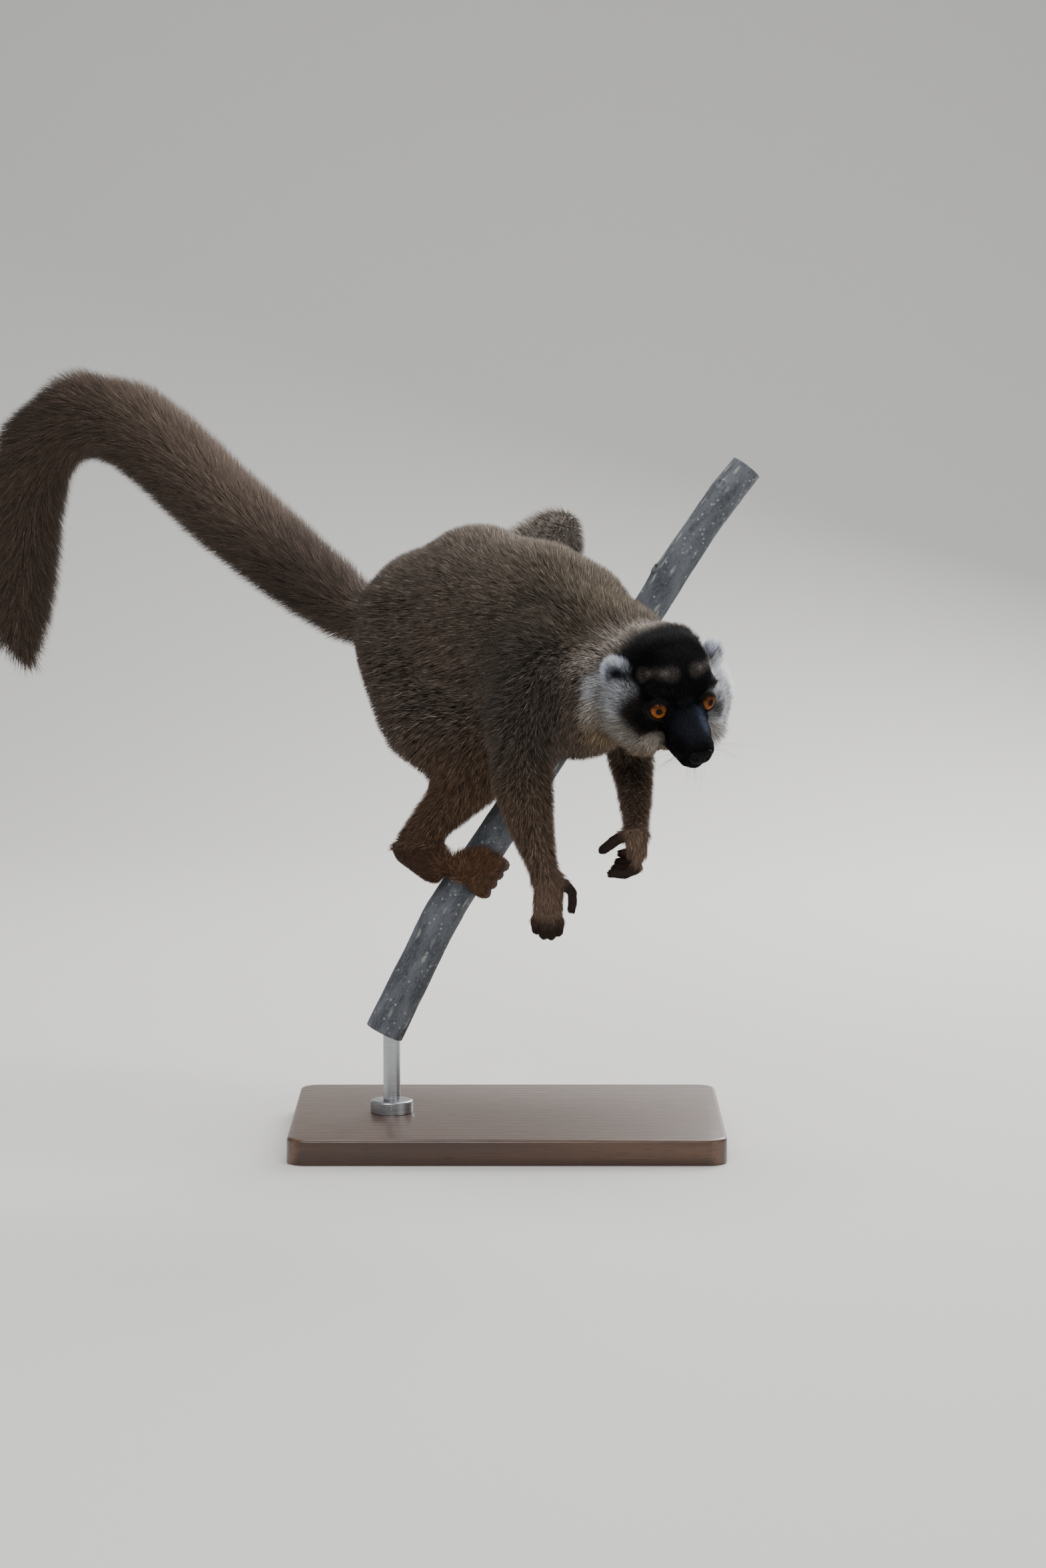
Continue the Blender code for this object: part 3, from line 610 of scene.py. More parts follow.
def step_up(value, low, high):
    """0 below low, 1 above high, and smooth between them."""
    share = np.clip((value - low) / (high - low), 0, 1)
    return share * share * (3 - 2 * share)


# The solids' facets are smoothed away, least on the head, hands and feet, and the joins of the
# limbs to the trunk melt into it.
points, edges = corners_of(skin_mesh), edges_of(skin_mesh)
owner = owners(points)
PAWS = [name for name in LIMBS if name[:4] in ("hand", "foot")]
FEET = ["foot_left", "foot_right"]
fine = share_of(owner, ["head"]) * 0.55 + share_of(owner, PAWS) - 0.35 * share_of(owner, FEET)
heel = np.clip(2.4 * spread(share_of(owner, ["shank_left", "shank_right"]), edges, 60), 0, 1)
fine = spread(fine - 0.4 * heel * share_of(owner, FEET), edges, 6)
points = spread(points, edges, 10, 0.5 * (1 - 0.7 * np.clip(fine, 0, 1)))
points = spread(points, edges, 70, 0.5 * np.clip(1 - 2 * fine, 0, 1))
move_corners(skin_mesh, points)
coat_outline = BVHTree.FromPolygons([tuple(point) for point in points],
                                    [tuple(face.vertices) for face in skin_mesh.polygons])

# Depth of the coat in millimetres, from the short fur of the hands and face to the thick tail.
DEPTHS = {"head": 0.5, "neck": 8, "trunk": 9, "upper_arm": 7.5, "forearm": 4.5, "hand": 2.0,
          "thigh": 8, "shank": 5, "foot": 3.6, "tail": 15}


def kind_of(name):
    return next(kind for kind in DEPTHS if name.startswith(kind))


def nearest_digit(places, digits):
    """For each place, the nearest digit: how far outside it, the way there, how far along, its way."""
    best = np.full(len(places), 1e3)
    inward, digit_way = np.zeros((2, len(places), 3))
    share_along = np.zeros(len(places))
    for digit in digits:
        for number, ((a, radius_a), (b, radius_b)) in enumerate(zip(digit, digit[1:])):
            a, b = np.array(a) * MM, np.array(b) * MM
            share = np.clip((places - a) @ (b - a) / ((b - a) @ (b - a)), 0, 1)
            axis_place = a + share[:, None] * (b - a)
            radius = (radius_a + (radius_b - radius_a) * share) * MM
            outside = np.linalg.norm(places - axis_place, axis=1) - radius
            nearer = outside < best
            best[nearer] = outside[nearer]
            inward[nearer] = unit(axis_place - places)[nearer]
            share_along[nearer] = ((number + share) / (len(digit) - 1))[nearer]
            digit_way[nearer] = unit(b - a)
    return best, inward, share_along, digit_way


depth = np.array([DEPTHS[kind_of(name)] for name in FLESH])[owner]
place = in_head(points)
on_head = share_of(owner, ["head"])
ruff = step_up(np.hypot(place[:, 0], (place[:, 2] + 15) * 0.4), 19, 31) * step_up(-place[:, 1], 4, 20)
back = step_up(-place[:, 1], 12, 42)
beard = step_up(-place[:, 2], 27, 40) * step_up(-place[:, 1], -2, 14)
for name, digits in DIGITS.items():
    mine = np.nonzero(belongs(owner, name))[0]
    outside, _, along, _ = nearest_digit(points[mine], digits)
    depth[mine] *= 1 - 0.85 * step_up(along, 0.05, 0.35) * step_up(-outside, -4 * MM, -1.5 * MM)
depth = depth + on_head * 4.5 * np.maximum(np.maximum(ruff, back * 0.6), beard * 0.8)
head_blend = spread(on_head, edges, 10)
depth = spread(depth, edges, 10) * head_blend + spread(depth, edges, 60) * (1 - head_blend)
points = points - normals_of(skin_mesh) * (depth * MM)[:, None]
points = spread(points, edges, 5, 0.5 * np.clip(1 - fine, 0, 1))
move_corners(skin_mesh, points)

# The skin under long fur needs few faces: it is thinned there, and made finer on the face.
body = loose_object(skin_mesh)
plain = body.vertex_groups.new(name="plain")
furred = spread(1 - np.clip(share_of(owner, ["head"] + PAWS), 0, 1), edges, 8)
for level in range(11):
    members = np.nonzero(np.round(furred * 10).astype(int) == level)[0]
    plain.add(members.tolist(), level / 10, "REPLACE")
thinner = body.modifiers.new("thinner", "DECIMATE")
thinner.ratio, thinner.vertex_group = 0.2, "plain"
skin_mesh = plain_mesh(body)


def made_finer(mesh, chosen):
    """Splits each edge between chosen corners in two."""
    clay = bmesh.new()
    clay.from_mesh(mesh)
    clay.verts.ensure_lookup_table()
    inside = [edge for edge in clay.edges if all(chosen[vert.index] for vert in edge.verts)]
    bmesh.ops.subdivide_edges(clay, edges=inside, cuts=1, use_grid_fill=True)
    bmesh.ops.triangulate(clay, faces=[face for face in clay.faces if len(face.verts) > 4])
    clay.to_mesh(mesh)
    clay.free()


place = in_head(corners_of(skin_mesh))
face_front = (np.abs(place[:, 0]) < 30) & (place[:, 1] > -16) & (np.abs(place[:, 2] + 10) < 36)
made_finer(skin_mesh, face_front & (place[:, 1] < 60))
# The sockets face outwards and a little up.
GAZE_OUT, GAZE_UP = math.radians(18), math.radians(7)
eye_frames = {}
for side, sign in (("left", 1), ("right", -1)):
    gaze = forward * math.cos(GAZE_OUT) + left * (sign * math.sin(GAZE_OUT)) + above * math.sin(GAZE_UP)
    gaze.normalize()
    temple = (above.cross(gaze) * sign).normalized()
    temple = temple if temple.dot(left) * sign > 0 else -temple
    centre = head_point(sign * EYE_CENTRE[0], *EYE_CENTRE[1:])
    eye_frames[side] = (centre, gaze, temple, temple.cross(gaze).normalized())
around_eyes = np.zeros(len(skin_mesh.vertices), bool)
for centre, *_ in eye_frames.values():
    around_eyes |= np.linalg.norm(corners_of(skin_mesh) - np.array(centre), axis=1) < 13 * MM
made_finer(skin_mesh, around_eyes)

points = corners_of(skin_mesh)
owner = owners(points)
near_digits = np.zeros(len(points), bool)
for name, digits in DIGITS.items():
    mine = np.nonzero(belongs(owner, name))[0]
    near_digits[mine] = nearest_digit(points[mine], digits)[0] < 4.5 * MM
made_finer(skin_mesh, near_digits)
points, edges = corners_of(skin_mesh), edges_of(skin_mesh)
owner = owners(points)
digit_share, tip_share = np.zeros((2, len(points)))
digit_ways = np.zeros_like(points)
for name, digits in DIGITS.items():
    mine = np.nonzero(belongs(owner, name))[0]
    top = points[mine, 2].max()
    for _ in range(3):
        outside, inward, along, way = nearest_digit(points[mine], digits)
        on_digit = step_up(along, 0.1, 0.4)
        if PALMS[name]:
            from_palm, to_palm, *_ = nearest_digit(points[mine], PALMS[name])
            palm_nearer = from_palm < outside
            on_digit[palm_nearer] = 0
            below_wrist = step_up(top - points[mine, 2], 2 * MM, 16 * MM)
            step = np.where(palm_nearer, from_palm, outside) * below_wrist
            inward = np.where(palm_nearer[:, None], to_palm, inward)
        else:
            step = outside * step_up(along, 0.02, 0.2) * step_up(-outside, -6.5 * MM, -4 * MM)
        points[mine] += inward * (np.maximum(step, -1.5 * MM * on_digit) * 0.8)[:, None]
    digit_share[mine], digit_ways[mine] = on_digit, way
    tip_share[mine] = step_up(along, 0.75, 1.0) * on_digit
paw_share = share_of(owner, PAWS)
points = spread(points, edges, 2, 0.35 * paw_share)
move_corners(skin_mesh, points)

# Lids: round each eye the skin is drawn on to the eyeball, up to a nearly round opening.
points = corners_of(skin_mesh)
points = spread(points, edges_of(skin_mesh), 3, 0.4 * (in_head(points)[:, 1] > -16))
lid_share = np.full(len(points), 9.0)
lower_lid = np.zeros(len(points))
for centre, gaze, temple, top in eye_frames.values():
    offset = points - np.array(centre)
    distance = np.linalg.norm(offset, axis=1)
    ahead = offset @ np.array(gaze)
    sideways = np.degrees(np.arctan2(offset @ np.array(temple), ahead))
    upward = offset @ np.array(top) * (1 if top.dot(above) > 0 else -1)
    upward = np.degrees(np.arctan2(upward, ahead))
    opening = np.hypot(sideways / np.where(sideways < 0, 62, 56), upward / np.where(upward > 0, 47, 56))
    near = (distance < 15 * MM) & (ahead > -2 * MM)
    opening[~near] = 9
    lid = EYE_RADIUS + LID + (distance - EYE_RADIUS - LID) * step_up(opening, 1.02, 2.0)
    wanted = np.where(opening < 1, EYE_RADIUS - 1.6 * MM, lid)
    moved = near & (opening < 2.0)
    points[moved] = (np.array(centre) + offset * (wanted / distance)[:, None])[moved]
    lid_share = np.minimum(lid_share, opening)
    lower_lid = np.maximum(lower_lid, bump_at(opening, 1.07, 0.06) * (upward < 0))

# Mouth: a fold runs from under the nose back to the corners of the lips.
place = in_head(points)
lip_height = -25.5 + 2.0 * step_up(-place[:, 1], -30, -8)
fold = bump_at(place[:, 2], lip_height, 0.8) * step_up(place[:, 1], 7, 13) * (np.abs(place[:, 0]) < 22)
move_corners(skin_mesh, points)
points = points - normals_of(skin_mesh) * (fold * 1.3 * MM)[:, None]
move_corners(skin_mesh, points)

# Each corner's place in the coat: the node it belongs to, and the distance to the coat's outline.
points, normals, edges = corners_of(skin_mesh), normals_of(skin_mesh), edges_of(skin_mesh)
reach = np.array([coat_outline.find_nearest(Vector(point))[3] for point in points])
reach = np.where(paw_share > 0, np.clip(reach, 1.2 * MM, 3.8 * MM) * (1 - 0.72 * digit_share), reach)
reach = spread(np.maximum(reach, 0.6 * MM), edges, 8)
place = in_head(points)


def soft_share(names, steps):
    return spread(share_of(owner, names), edges, steps)


# The lie of the coat: back from the nose over the head, back and down over the trunk, and down
# each limb and along the tail. It is evened out over the skin, so that it turns smoothly.
BODY_LINES = [TAIL]
for side in ("left", "right"):
    BODY_LINES.append([part + "_" + side for part in ("upper_arm", "forearm", "hand")])
    BODY_LINES.append([part + "_" + side for part in ("thigh", "shank", "foot")])
lie = np.zeros_like(points)
trunk_way = (middle_of("tail_1") - middle_of("neck")).normalized()
lie[belongs(owner, "trunk", "neck")] = trunk_way + Vector((0, 0, -0.4))
for line in BODY_LINES:
    middles = [middle_of(name) for name in line]
    ways = [(b - a).normalized() for a, b in zip(middles, middles[1:])]
    ways = [ways[0]] + [(a + b).normalized() for a, b in zip(ways, ways[1:])] + [ways[-1]]
    for name, way in zip(line, ways):
        lie[belongs(owner, name)] = way
for side in ("left", "right"):
    lower_arm = belongs(owner, "forearm_" + side, "hand_" + side)
    lie[lower_arm] = lie[lower_arm] * 0.35 + (0, 0, -0.9)
    lie[belongs(owner, "upper_arm_" + side)] += 0.8 * np.array(trunk_way)
    lie[belongs(owner, "thigh_" + side)] = np.array(trunk_way) + (0, 0, -0.9)
    toes = BRANCH_ROUTE[3] - BRANCH_ROUTE[2] if side == "right" else BRANCH_ROUTE[4] - BRANCH_ROUTE[3]
    heel_to_toe = middle_of("foot_" + side) - middle_of("shank_" + side)
    foot_corners = belongs(owner, "foot_" + side)
    near_shank = np.clip(2.4 * soft_share(["shank_" + side], 80), 0, 1)[foot_corners, None]
    shank_way = np.array((heel_to_toe.normalized() + Vector((0, 0, -0.6))).normalized())
    toe_way = np.array((Vector((heel_to_toe.x, heel_to_toe.y, 0)) + toes).normalized())
    lie[foot_corners] = shank_way * near_shank + toe_way * (1 - near_shank)
from_nose = unit(points - np.array(head_point(0, 38, -16)))
hang = step_up(-place[:, 2], 0, 30)[:, None] * np.array([0, 0, -0.6])
head_corners = belongs(owner, "head")
lie[head_corners] = (from_nose + hang)[head_corners]
knee_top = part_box("shank_left")[1].z
knee = (points[:, 2] > knee_top - 60 * MM) & belongs(owner, "shank_left", "thigh_left")
lie[knee] = (-0.7, 0.1, -0.7)
on_digits = digit_share > 0.3
lie[on_digits] = digit_ways[on_digits]


def laid_flat(ways, normals):
    """Directions turned into the skin's own plane."""
    return unit(ways - normals * np.sum(ways * normals, axis=1, keepdims=True))


for _ in range(5):
    lie = laid_flat(spread(lie, edges, 10), normals)

# ---------------------------------------------------------------- coat: markings
# The fur is grizzled grey-brown, warmer on the flanks, rufous on the shanks and feet and dark on
# the tail. The face is black with grizzled brow patches, and the ruff runs from white to cream.


def rgb(colour):
    return np.array(linear(colour)[:3])


def layered(base, *layers):
    """A colour for each corner: a base, and colours laid over it where their shares are above 0."""
    tones = np.tile(rgb(base), (len(layers[0][1]), 1)) if isinstance(base, str) else base
    for colour, share in layers:
        over = rgb(colour) if isinstance(colour, str) else colour
        tones = tones + (over - tones) * np.clip(share, 0, 1)[:, None]
    return tones


def band_at(start, end, half_width):
    """1 inside a band between two places on the head and 0 outside it; both sides are alike."""
    start, along = np.array(start, float), np.array(end, float) - start
    offset = one_side - start
    offset -= np.clip(offset @ along / (along @ along), 0, 1)[:, None] * along
    return step_up(-np.linalg.norm(offset, axis=1) / half_width, -1.4, -0.5)


back_side = step_up(normals[:, 2], -0.5, 0.7)
# Over the withers a warm tint, painted darker on the upward-facing coat: painted shade against the
# strong top light.
withers = np.array(middle_of("neck")) + (-0.02, 0, 0.03)
withers_tint_and_painted_shade = bump_at(np.linalg.norm(points - withers, axis=1), 0, 0.075) * back_side
belly = step_up(-normals[:, 2], 0.3, 0.95) * soft_share(["trunk", "neck"], 12)
on_knee = (step_up(points[:, 2], knee_top - 60 * MM, knee_top - 20 * MM)
           * soft_share(["shank_left", "thigh_left"], 6))
feet, hands = soft_share(FEET, 20), soft_share(["hand_left", "hand_right"], 45)
tail = soft_share(TAIL, 10)
tail_root = bump_at(np.linalg.norm(points - np.array(middle_of("tail_1")), axis=1), 0, 0.05) * tail
# Fingers and thumbs are nearly black and toes dark; the toe tips are pale.
dark_digits = spread(digit_share, edges, 3)
body_tone = layered(
    "5a4e45", ("584f47", back_side), ("4a4133", withers_tint_and_painted_shade * 0.75), ("66574a", belly * 0.7),
    ("4c4641", soft_share(["upper_arm_left", "upper_arm_right"], 16) * 0.7),
    ("604e40", soft_share(["forearm_left", "forearm_right"], 20) * 0.7),
    ("614b3a", soft_share(["shank_left", "shank_right"], 16) * 0.8),
    ("8f857b", on_knee), ("6c503d", feet), ("7a6455", hands), ("54483f", tail),
    ("2b2320", tail_root * 0.5), ("33261f", dark_digits * hands), ("3a2a21", dark_digits * feet * 0.8),
    ("6b635e", spread(tip_share, edges, 2) * feet * 0.6))

crown = soft_share(["head"], 3)
sideways, ahead, upward = np.abs(place[:, 0]), place[:, 1], place[:, 2]
one_side = np.stack([sideways, ahead, upward], axis=1)
# The animal's left side: there the ruff reaches further forward, and is painted whiter as painted
# light.
left_side_and_painted_light = step_up(place[:, 0], -6, 14)
far_back = 0.8 * np.clip(-upward - 8, 0, 30) - ahead - 14 + 12 * left_side_and_painted_light
ruff_share = (step_up(far_back, -3, 10) * step_up(sideways, 13, 21)
              * step_up(7 * left_side_and_painted_light - upward, -9, 1))
beard = step_up(-upward, 26, 33) * step_up(-ahead, -8, 6)
ruff_all = np.maximum(ruff_share, beard)
# The ruff is white-grey and browner lower down; its near white on the left side is painted light.
ruff_tone = layered("c4c6cb", ("b7aea4", step_up(-upward, 8, 20)), ("8f7d63", step_up(-upward, 24, 36)),
                    ("f2f3f8", left_side_and_painted_light))
before_ruff = step_up(far_back, -12, -2) * step_up(sideways, 14, 22) * step_up(-upward, -6, 2)
brow = band_at((22, -17, 15), (8, -3, 22), 5.0) * (1 - ruff_all)
brow_middle = band_at((19, -13, 18), (11, -5, 22), 2.4)
from_cheek = np.linalg.norm((one_side - (20, -0.5, -24.5)) / (7, 8, 6.5), axis=1)
pale_cheek = step_up(-from_cheek, -1.35, -0.65)
# Painted sheen: faint blue-grey over the top of the muzzle, and a paler blue-grey band along its left
# side.
painted_sheen_on_bridge = step_up(ahead, 5, 14) * step_up(upward, -14, -6)
ridge = (bump_at(place[:, 0], 8, 3.5) * step_up(ahead, 6, 12) * step_up(-ahead, -30, -22)
         * step_up(upward, -13, -7))
fringe = bump_at(ahead, -52, 7) * step_up(upward, -4, 8) * step_up(-place[:, 0], -12, 6)
nape = step_up(-ahead - 12 * step_up(-upward, -4, 12), 41, 49) * (1 - fringe)
face_tone = layered("0a0a0c", ("40372f", before_ruff * 0.35), (ruff_tone, ruff_all),
                    ("4a433f", brow * 0.65), ("6c6661", brow_middle * 0.6),
                    ("a59b90", pale_cheek * 0.9), ("1b1e26", painted_sheen_on_bridge * 0.7), ("474f61", ridge * 0.8),
                    ("5c534b", nape))
coat_tone = layered(body_tone, (face_tone, crown), ("948a81", fringe), ("3c3836", lower_lid * 0.8))

# Length and width of the tufts in millimetres, by region.
LENGTHS = {"head": 2.8, "neck": 10, "trunk": 10, "upper_arm": 9.5, "forearm": 7.5, "hand": 6.0,
           "thigh": 10, "shank": 8, "foot": 7.0, "tail": 23}
WIDTHS = {"head": 0.36, "neck": 0.62, "trunk": 0.66, "upper_arm": 0.62, "forearm": 0.6, "hand": 0.46,
          "thigh": 0.75, "shank": 0.62, "foot": 0.42, "tail": 0.72}
hair_long = spread(np.array([LENGTHS[kind_of(name)] for name in FLESH])[owner], edges, 30)
hair_long = hair_long * (1 - 0.62 * digit_share) * (1 - 0.15 * on_knee)
hair_wide = spread(np.array([WIDTHS[kind_of(name)] for name in FLESH])[owner], edges, 8)
longer = np.maximum(np.maximum(ruff_all, pale_cheek * 0.35), step_up(-ahead, 14, 44) * 0.5) * crown
hair_long = hair_long + 8.5 * longer
hair_wide = hair_wide + 0.22 * longer
muzzle = step_up(ahead, 4, 20) * crown
# In the hollow between cheek and muzzle the hairs stand up, or they would run into the cheek.
reach = np.maximum(reach, 3.4 * MM * pale_cheek * (1 - muzzle))
hair_long = hair_long * (1 - 0.45 * muzzle)
bare = step_up(lid_share, 1.25, 1.6)

# ---------------------------------------------------------------- coat: tufts
# The fur is made of thin, three-sided tufts that taper to a point. They overlap like thatch, lie
# along the body and end at the coat's outline. Near ones lean together into small locks. Each is 0.3
# to 0.9 mm wide and stands for several hairs, for single ones would be too fine to show.


def paint(mesh, layer_name, tones):
    """Keeps a linear colour for each corner in an attribute of the mesh."""
    layer = mesh.attributes.new(layer_name, "FLOAT_COLOR", "POINT")
    colours = np.concatenate([tones, np.ones((len(tones), 1))], axis=1)
    layer.data.foreach_set("color", colours.astype(np.float32).ravel())


def toned_material(name, layer_name, **constants):
    """A material whose colour comes from an attribute of the mesh."""
    made, tree, shader = new_material(name, **constants)
    shade = add(tree, "ShaderNodeAttribute", attribute_name=layer_name).outputs["Color"]
    wire(tree, shader, Base_Color=shade)
    return made, tree, shader


PATCH = 0.003  # the width of one tuft's patch on the baking map
ROOT_DEPTH = 0.0003  # metres from the skin down to where a tuft starts
TUFT_FACES = np.array([[0, 1, 3], [1, 2, 3], [2, 0, 3], [2, 1, 0]])


def tuft_mesh(name, roots, outward, along, across, long, high, wide, root_tone, tip_tone, patch):
    """One mesh of tufts: each has three corners round its root and a tip."""
    count = len(roots)
    high = np.minimum(high, long * 0.96)
    tip_way = outward * high[:, None] + along * np.sqrt(long ** 2 - high ** 2)[:, None]
    starts = roots - outward * ROOT_DEPTH
    half = across * (wide * 0.5)[:, None]
    thick = outward * (wide * 0.34)[:, None]
    corners = np.stack([starts + half - thick * 0.5, starts - half - thick * 0.5, starts + thick,
                        starts + tip_way], axis=1)
    faces = ((np.arange(count) * 4)[:, None, None] + TUFT_FACES).reshape(-1, 3)
    mesh = mesh_of(name, corners.reshape(-1, 3), [faces])
    tones = np.stack([root_tone] * 3 + [tip_tone], axis=1)
    paint(mesh, "hair_tone", tones.reshape(-1, 3))
    # Baking map: each tuft is a small patch at its root's place on the skin's own unwrap.
    shape = PATCH * np.array([[-0.5, -0.5], [0.5, -0.5], [0.0, -0.5], [0.0, 0.5]])
    spots = (patch[:, None] + shape).reshape(-1, 2)
    layer = mesh.uv_layers.new(name="OFBake")
    layer.data.foreach_set("uv", np.clip(spots, 0, 1)[faces.ravel()].astype(np.float32).ravel())
    return mesh


def unwrapped(mesh):
    """Makes the baking map by the turn of the faces, and gives its places, one for each loop."""
    mesh.uv_layers.new(name="OFBake")
    mesh.uv_layers.active = mesh.uv_layers["OFBake"]
    holder = loose_object(mesh)
    bpy.context.view_layer.objects.active = holder
    holder.select_set(True)
    bpy.ops.object.mode_set(mode="EDIT")
    bpy.ops.mesh.select_all(action="SELECT")
    bpy.ops.uv.smart_project(angle_limit=math.radians(70), island_margin=0.002)
    bpy.ops.object.mode_set(mode="OBJECT")
    bpy.data.objects.remove(holder)
    return values_of(mesh.uv_layers["OFBake"].data, "uv", 2).astype(float)


def coat_ground(mesh, places, outward, ways, colours, long, wide, room, dense):
    """What the tufts on one surface need: its triangles, their map, and values at its corners."""
    spots = unwrapped(mesh)
    mesh.calc_loop_triangles()
    triangles = values_of(mesh.loop_triangles, "vertices", 3, np.int32)
    loops = values_of(mesh.loop_triangles, "loops", 3, np.int32)
    a, b, c = (places[triangles[:, corner]] for corner in range(3))
    areas = np.linalg.norm(np.cross(b - a, c - a), axis=1) / 2
    return dict(vertices=triangles, areas=areas, spots=spots[loops], places=places, outward=outward,
                ways=ways, colours=colours, long=long, wide=wide, room=room, dense=dense)


skin_ground = coat_ground(skin_mesh, points, normals, lie, coat_tone, hair_long, hair_wide, reach, bare)
skin_owner = owner[skin_ground["vertices"][:, 0]]


def grow_coat(name, ground, count, seed, nodes=(), where=None, stand=1.15, light=0.5, lean=0.33,
              dark_root=0.38, material=None):
    """Tufts over a surface, as many as count; stand is how near they come to the coat's outline."""
    rng = np.random.default_rng(seed)
    corners = ground["vertices"]
    density = ground["dense"] / (ground["long"] * ground["wide"] + 1.0)
    if where is not None:
        density = density * where
    weight = ground["areas"] * density[corners].mean(axis=1)
    if nodes:
        weight = weight * belongs(skin_owner, *nodes)
    chosen = rng.choice(len(weight), size=count, p=weight / weight.sum())
    share = rng.dirichlet((1, 1, 1), size=count)

    def at_roots(values):
        return np.einsum("nc,nck->nk", share, values.reshape(len(values), -1)[corners[chosen]])

    roots, outward = at_roots(ground["places"]), unit(at_roots(ground["outward"]))
    along = laid_flat(at_roots(ground["ways"]), outward)
    room = at_roots(ground["room"])[:, 0]
    lengths = at_roots(ground["long"])[:, 0] * MM * rng.uniform(0.7, 1.2, count)
    lengths = np.maximum(lengths, room * 1.08)
    along = unit(along + np.cross(along, outward) * rng.normal(0, 0.3, count)[:, None])
    high = room * stand * rng.uniform(0.65, 1.0, count)
    # Locks: each tuft leans towards the tip of the nearest of a few leading tufts.
    leaders = rng.choice(count, size=max(count // 16, 1), replace=False)
    tree = kdtree.KDTree(len(leaders))
    for number, leader in enumerate(leaders):
        tree.insert(roots[leader], number)
    tree.balance()
    led_by = leaders[[tree.find(root)[1] for root in roots]]
    tip_of = roots + outward * high[:, None] + along * (lengths * 0.9)[:, None]
    towards = laid_flat(tip_of[led_by] - roots, outward)
    along = unit(along * (1 - lean) + towards * lean)
    high = high * (1 - lean) + high[led_by] * lean
    across = unit(np.cross(along, outward))
    wides = at_roots(ground["wide"])[:, 0] * MM * rng.uniform(0.6, 1.3, count)
    base = at_roots(ground["colours"])
    lightness = np.exp(rng.normal(0, light, count))[:, None]
    pale = (rng.random(count) < 0.3)[:, None]
    root_tone = base * lightness * dark_root
    tip_tone = np.where(pale, base * lightness * 2.0, base * lightness * 1.1)
    patch = np.einsum("nc,nck->nk", share, ground["spots"][chosen])
    mesh = tuft_mesh(name, roots, outward, along, across, lengths, high, wides, root_tone,
                     np.minimum(tip_tone, 0.85), patch)
    new_piece(name, mesh, material or hair)


face_hair, *_ = toned_material("short black face fur", "hair_tone", Roughness=0.75,
                               Specular_IOR_Level=0.04)
hair, *_ = toned_material("soft woolly fur", "hair_tone", Roughness=0.7, Specular_IOR_Level=0.12)

skin_finish, tree, shader = toned_material("dark soft skin", "skin_tone", Roughness=0.7,
                                           Specular_IOR_Level=0.12)
place_node = add(tree, "ShaderNodeTexCoord").outputs["Object"]
# Creases about 1 mm apart.
creases = add(tree, "ShaderNodeTexNoise", {"Vector": place_node, "Scale": 900.0, "Detail": 3.0})
dents = add(tree, "ShaderNodeBump", {"Height": creases.outputs["Fac"], "Strength": 0.5,
                                     "Distance": 0.4 * MM})
wire(tree, shader, Normal=dents.outputs[0])
paint(skin_mesh, "skin_tone", coat_tone * 0.55)
new_piece("skin", skin_mesh, skin_finish, FLESH)

ARM_PARTS = [name for name in LIMBS if "arm" in name]
LEG_PARTS = [name for name in LIMBS if name[:5] in ("thigh", "shank")]
on_face = step_up(-longer, -0.35, -0.05)
grow_coat("coat_face", skin_ground, 42000, 1, ["head"], where=on_face, stand=1.6,
          light=0.45, material=face_hair)
grow_coat("coat_ruff", skin_ground, 26000, 2, ["head"], where=1 - on_face * 0.97,
          stand=1.35, light=0.35, lean=0.3, dark_root=0.55)
for number in (1, 2):
    grow_coat("coat_trunk_%d" % number, skin_ground, 48000, 2 + number, ["trunk", "neck"],
              light=0.58)
grow_coat("coat_arms", skin_ground, 40000, 5, ARM_PARTS)
grow_coat("coat_legs", skin_ground, 44000, 6, LEG_PARTS)
grow_coat("coat_paws", skin_ground, 36000, 7, PAWS, light=0.38)
for number in (1, 2):
    grow_coat("coat_tail_%d" % number, skin_ground, 40000, 7 + number, TAIL, light=0.38,
              lean=0.25, dark_root=0.45)

# ---------------------------------------------------------------- head: eyes
# Orange eyes with a small round pupil and a dark rim. Each is one glossy ball with a slight
# bulge over the iris, and sits behind the lids.

EYE_RINGS, EYE_SIDES = 56, 120
LOOK_LEFT, LOOK_DOWN = math.radians(1), math.radians(-4)  # how the pupils turn from the sockets' way
PUPIL_EDGE, IRIS_EDGE, BALL_EDGE = math.radians(15), math.radians(48), math.radians(105)
BULGE = 0.035  # how far the middle of the iris stands out, as a share of the ball's radius
rng = np.random.default_rng(21)
turns = np.linspace(0, 2 * math.pi, EYE_SIDES, endpoint=False)
spokes = np.interp(turns, np.linspace(0, 2 * math.pi, 61), np.append(rng.uniform(0, 1, 60), 0.5))
angles = BALL_EDGE * (np.arange(EYE_RINGS + 1) / EYE_RINGS) ** 0.9
radii = EYE_RADIUS * 0.985 * (1 + BULGE * np.maximum(0, 1 - (angles / IRIS_EDGE) ** 2))
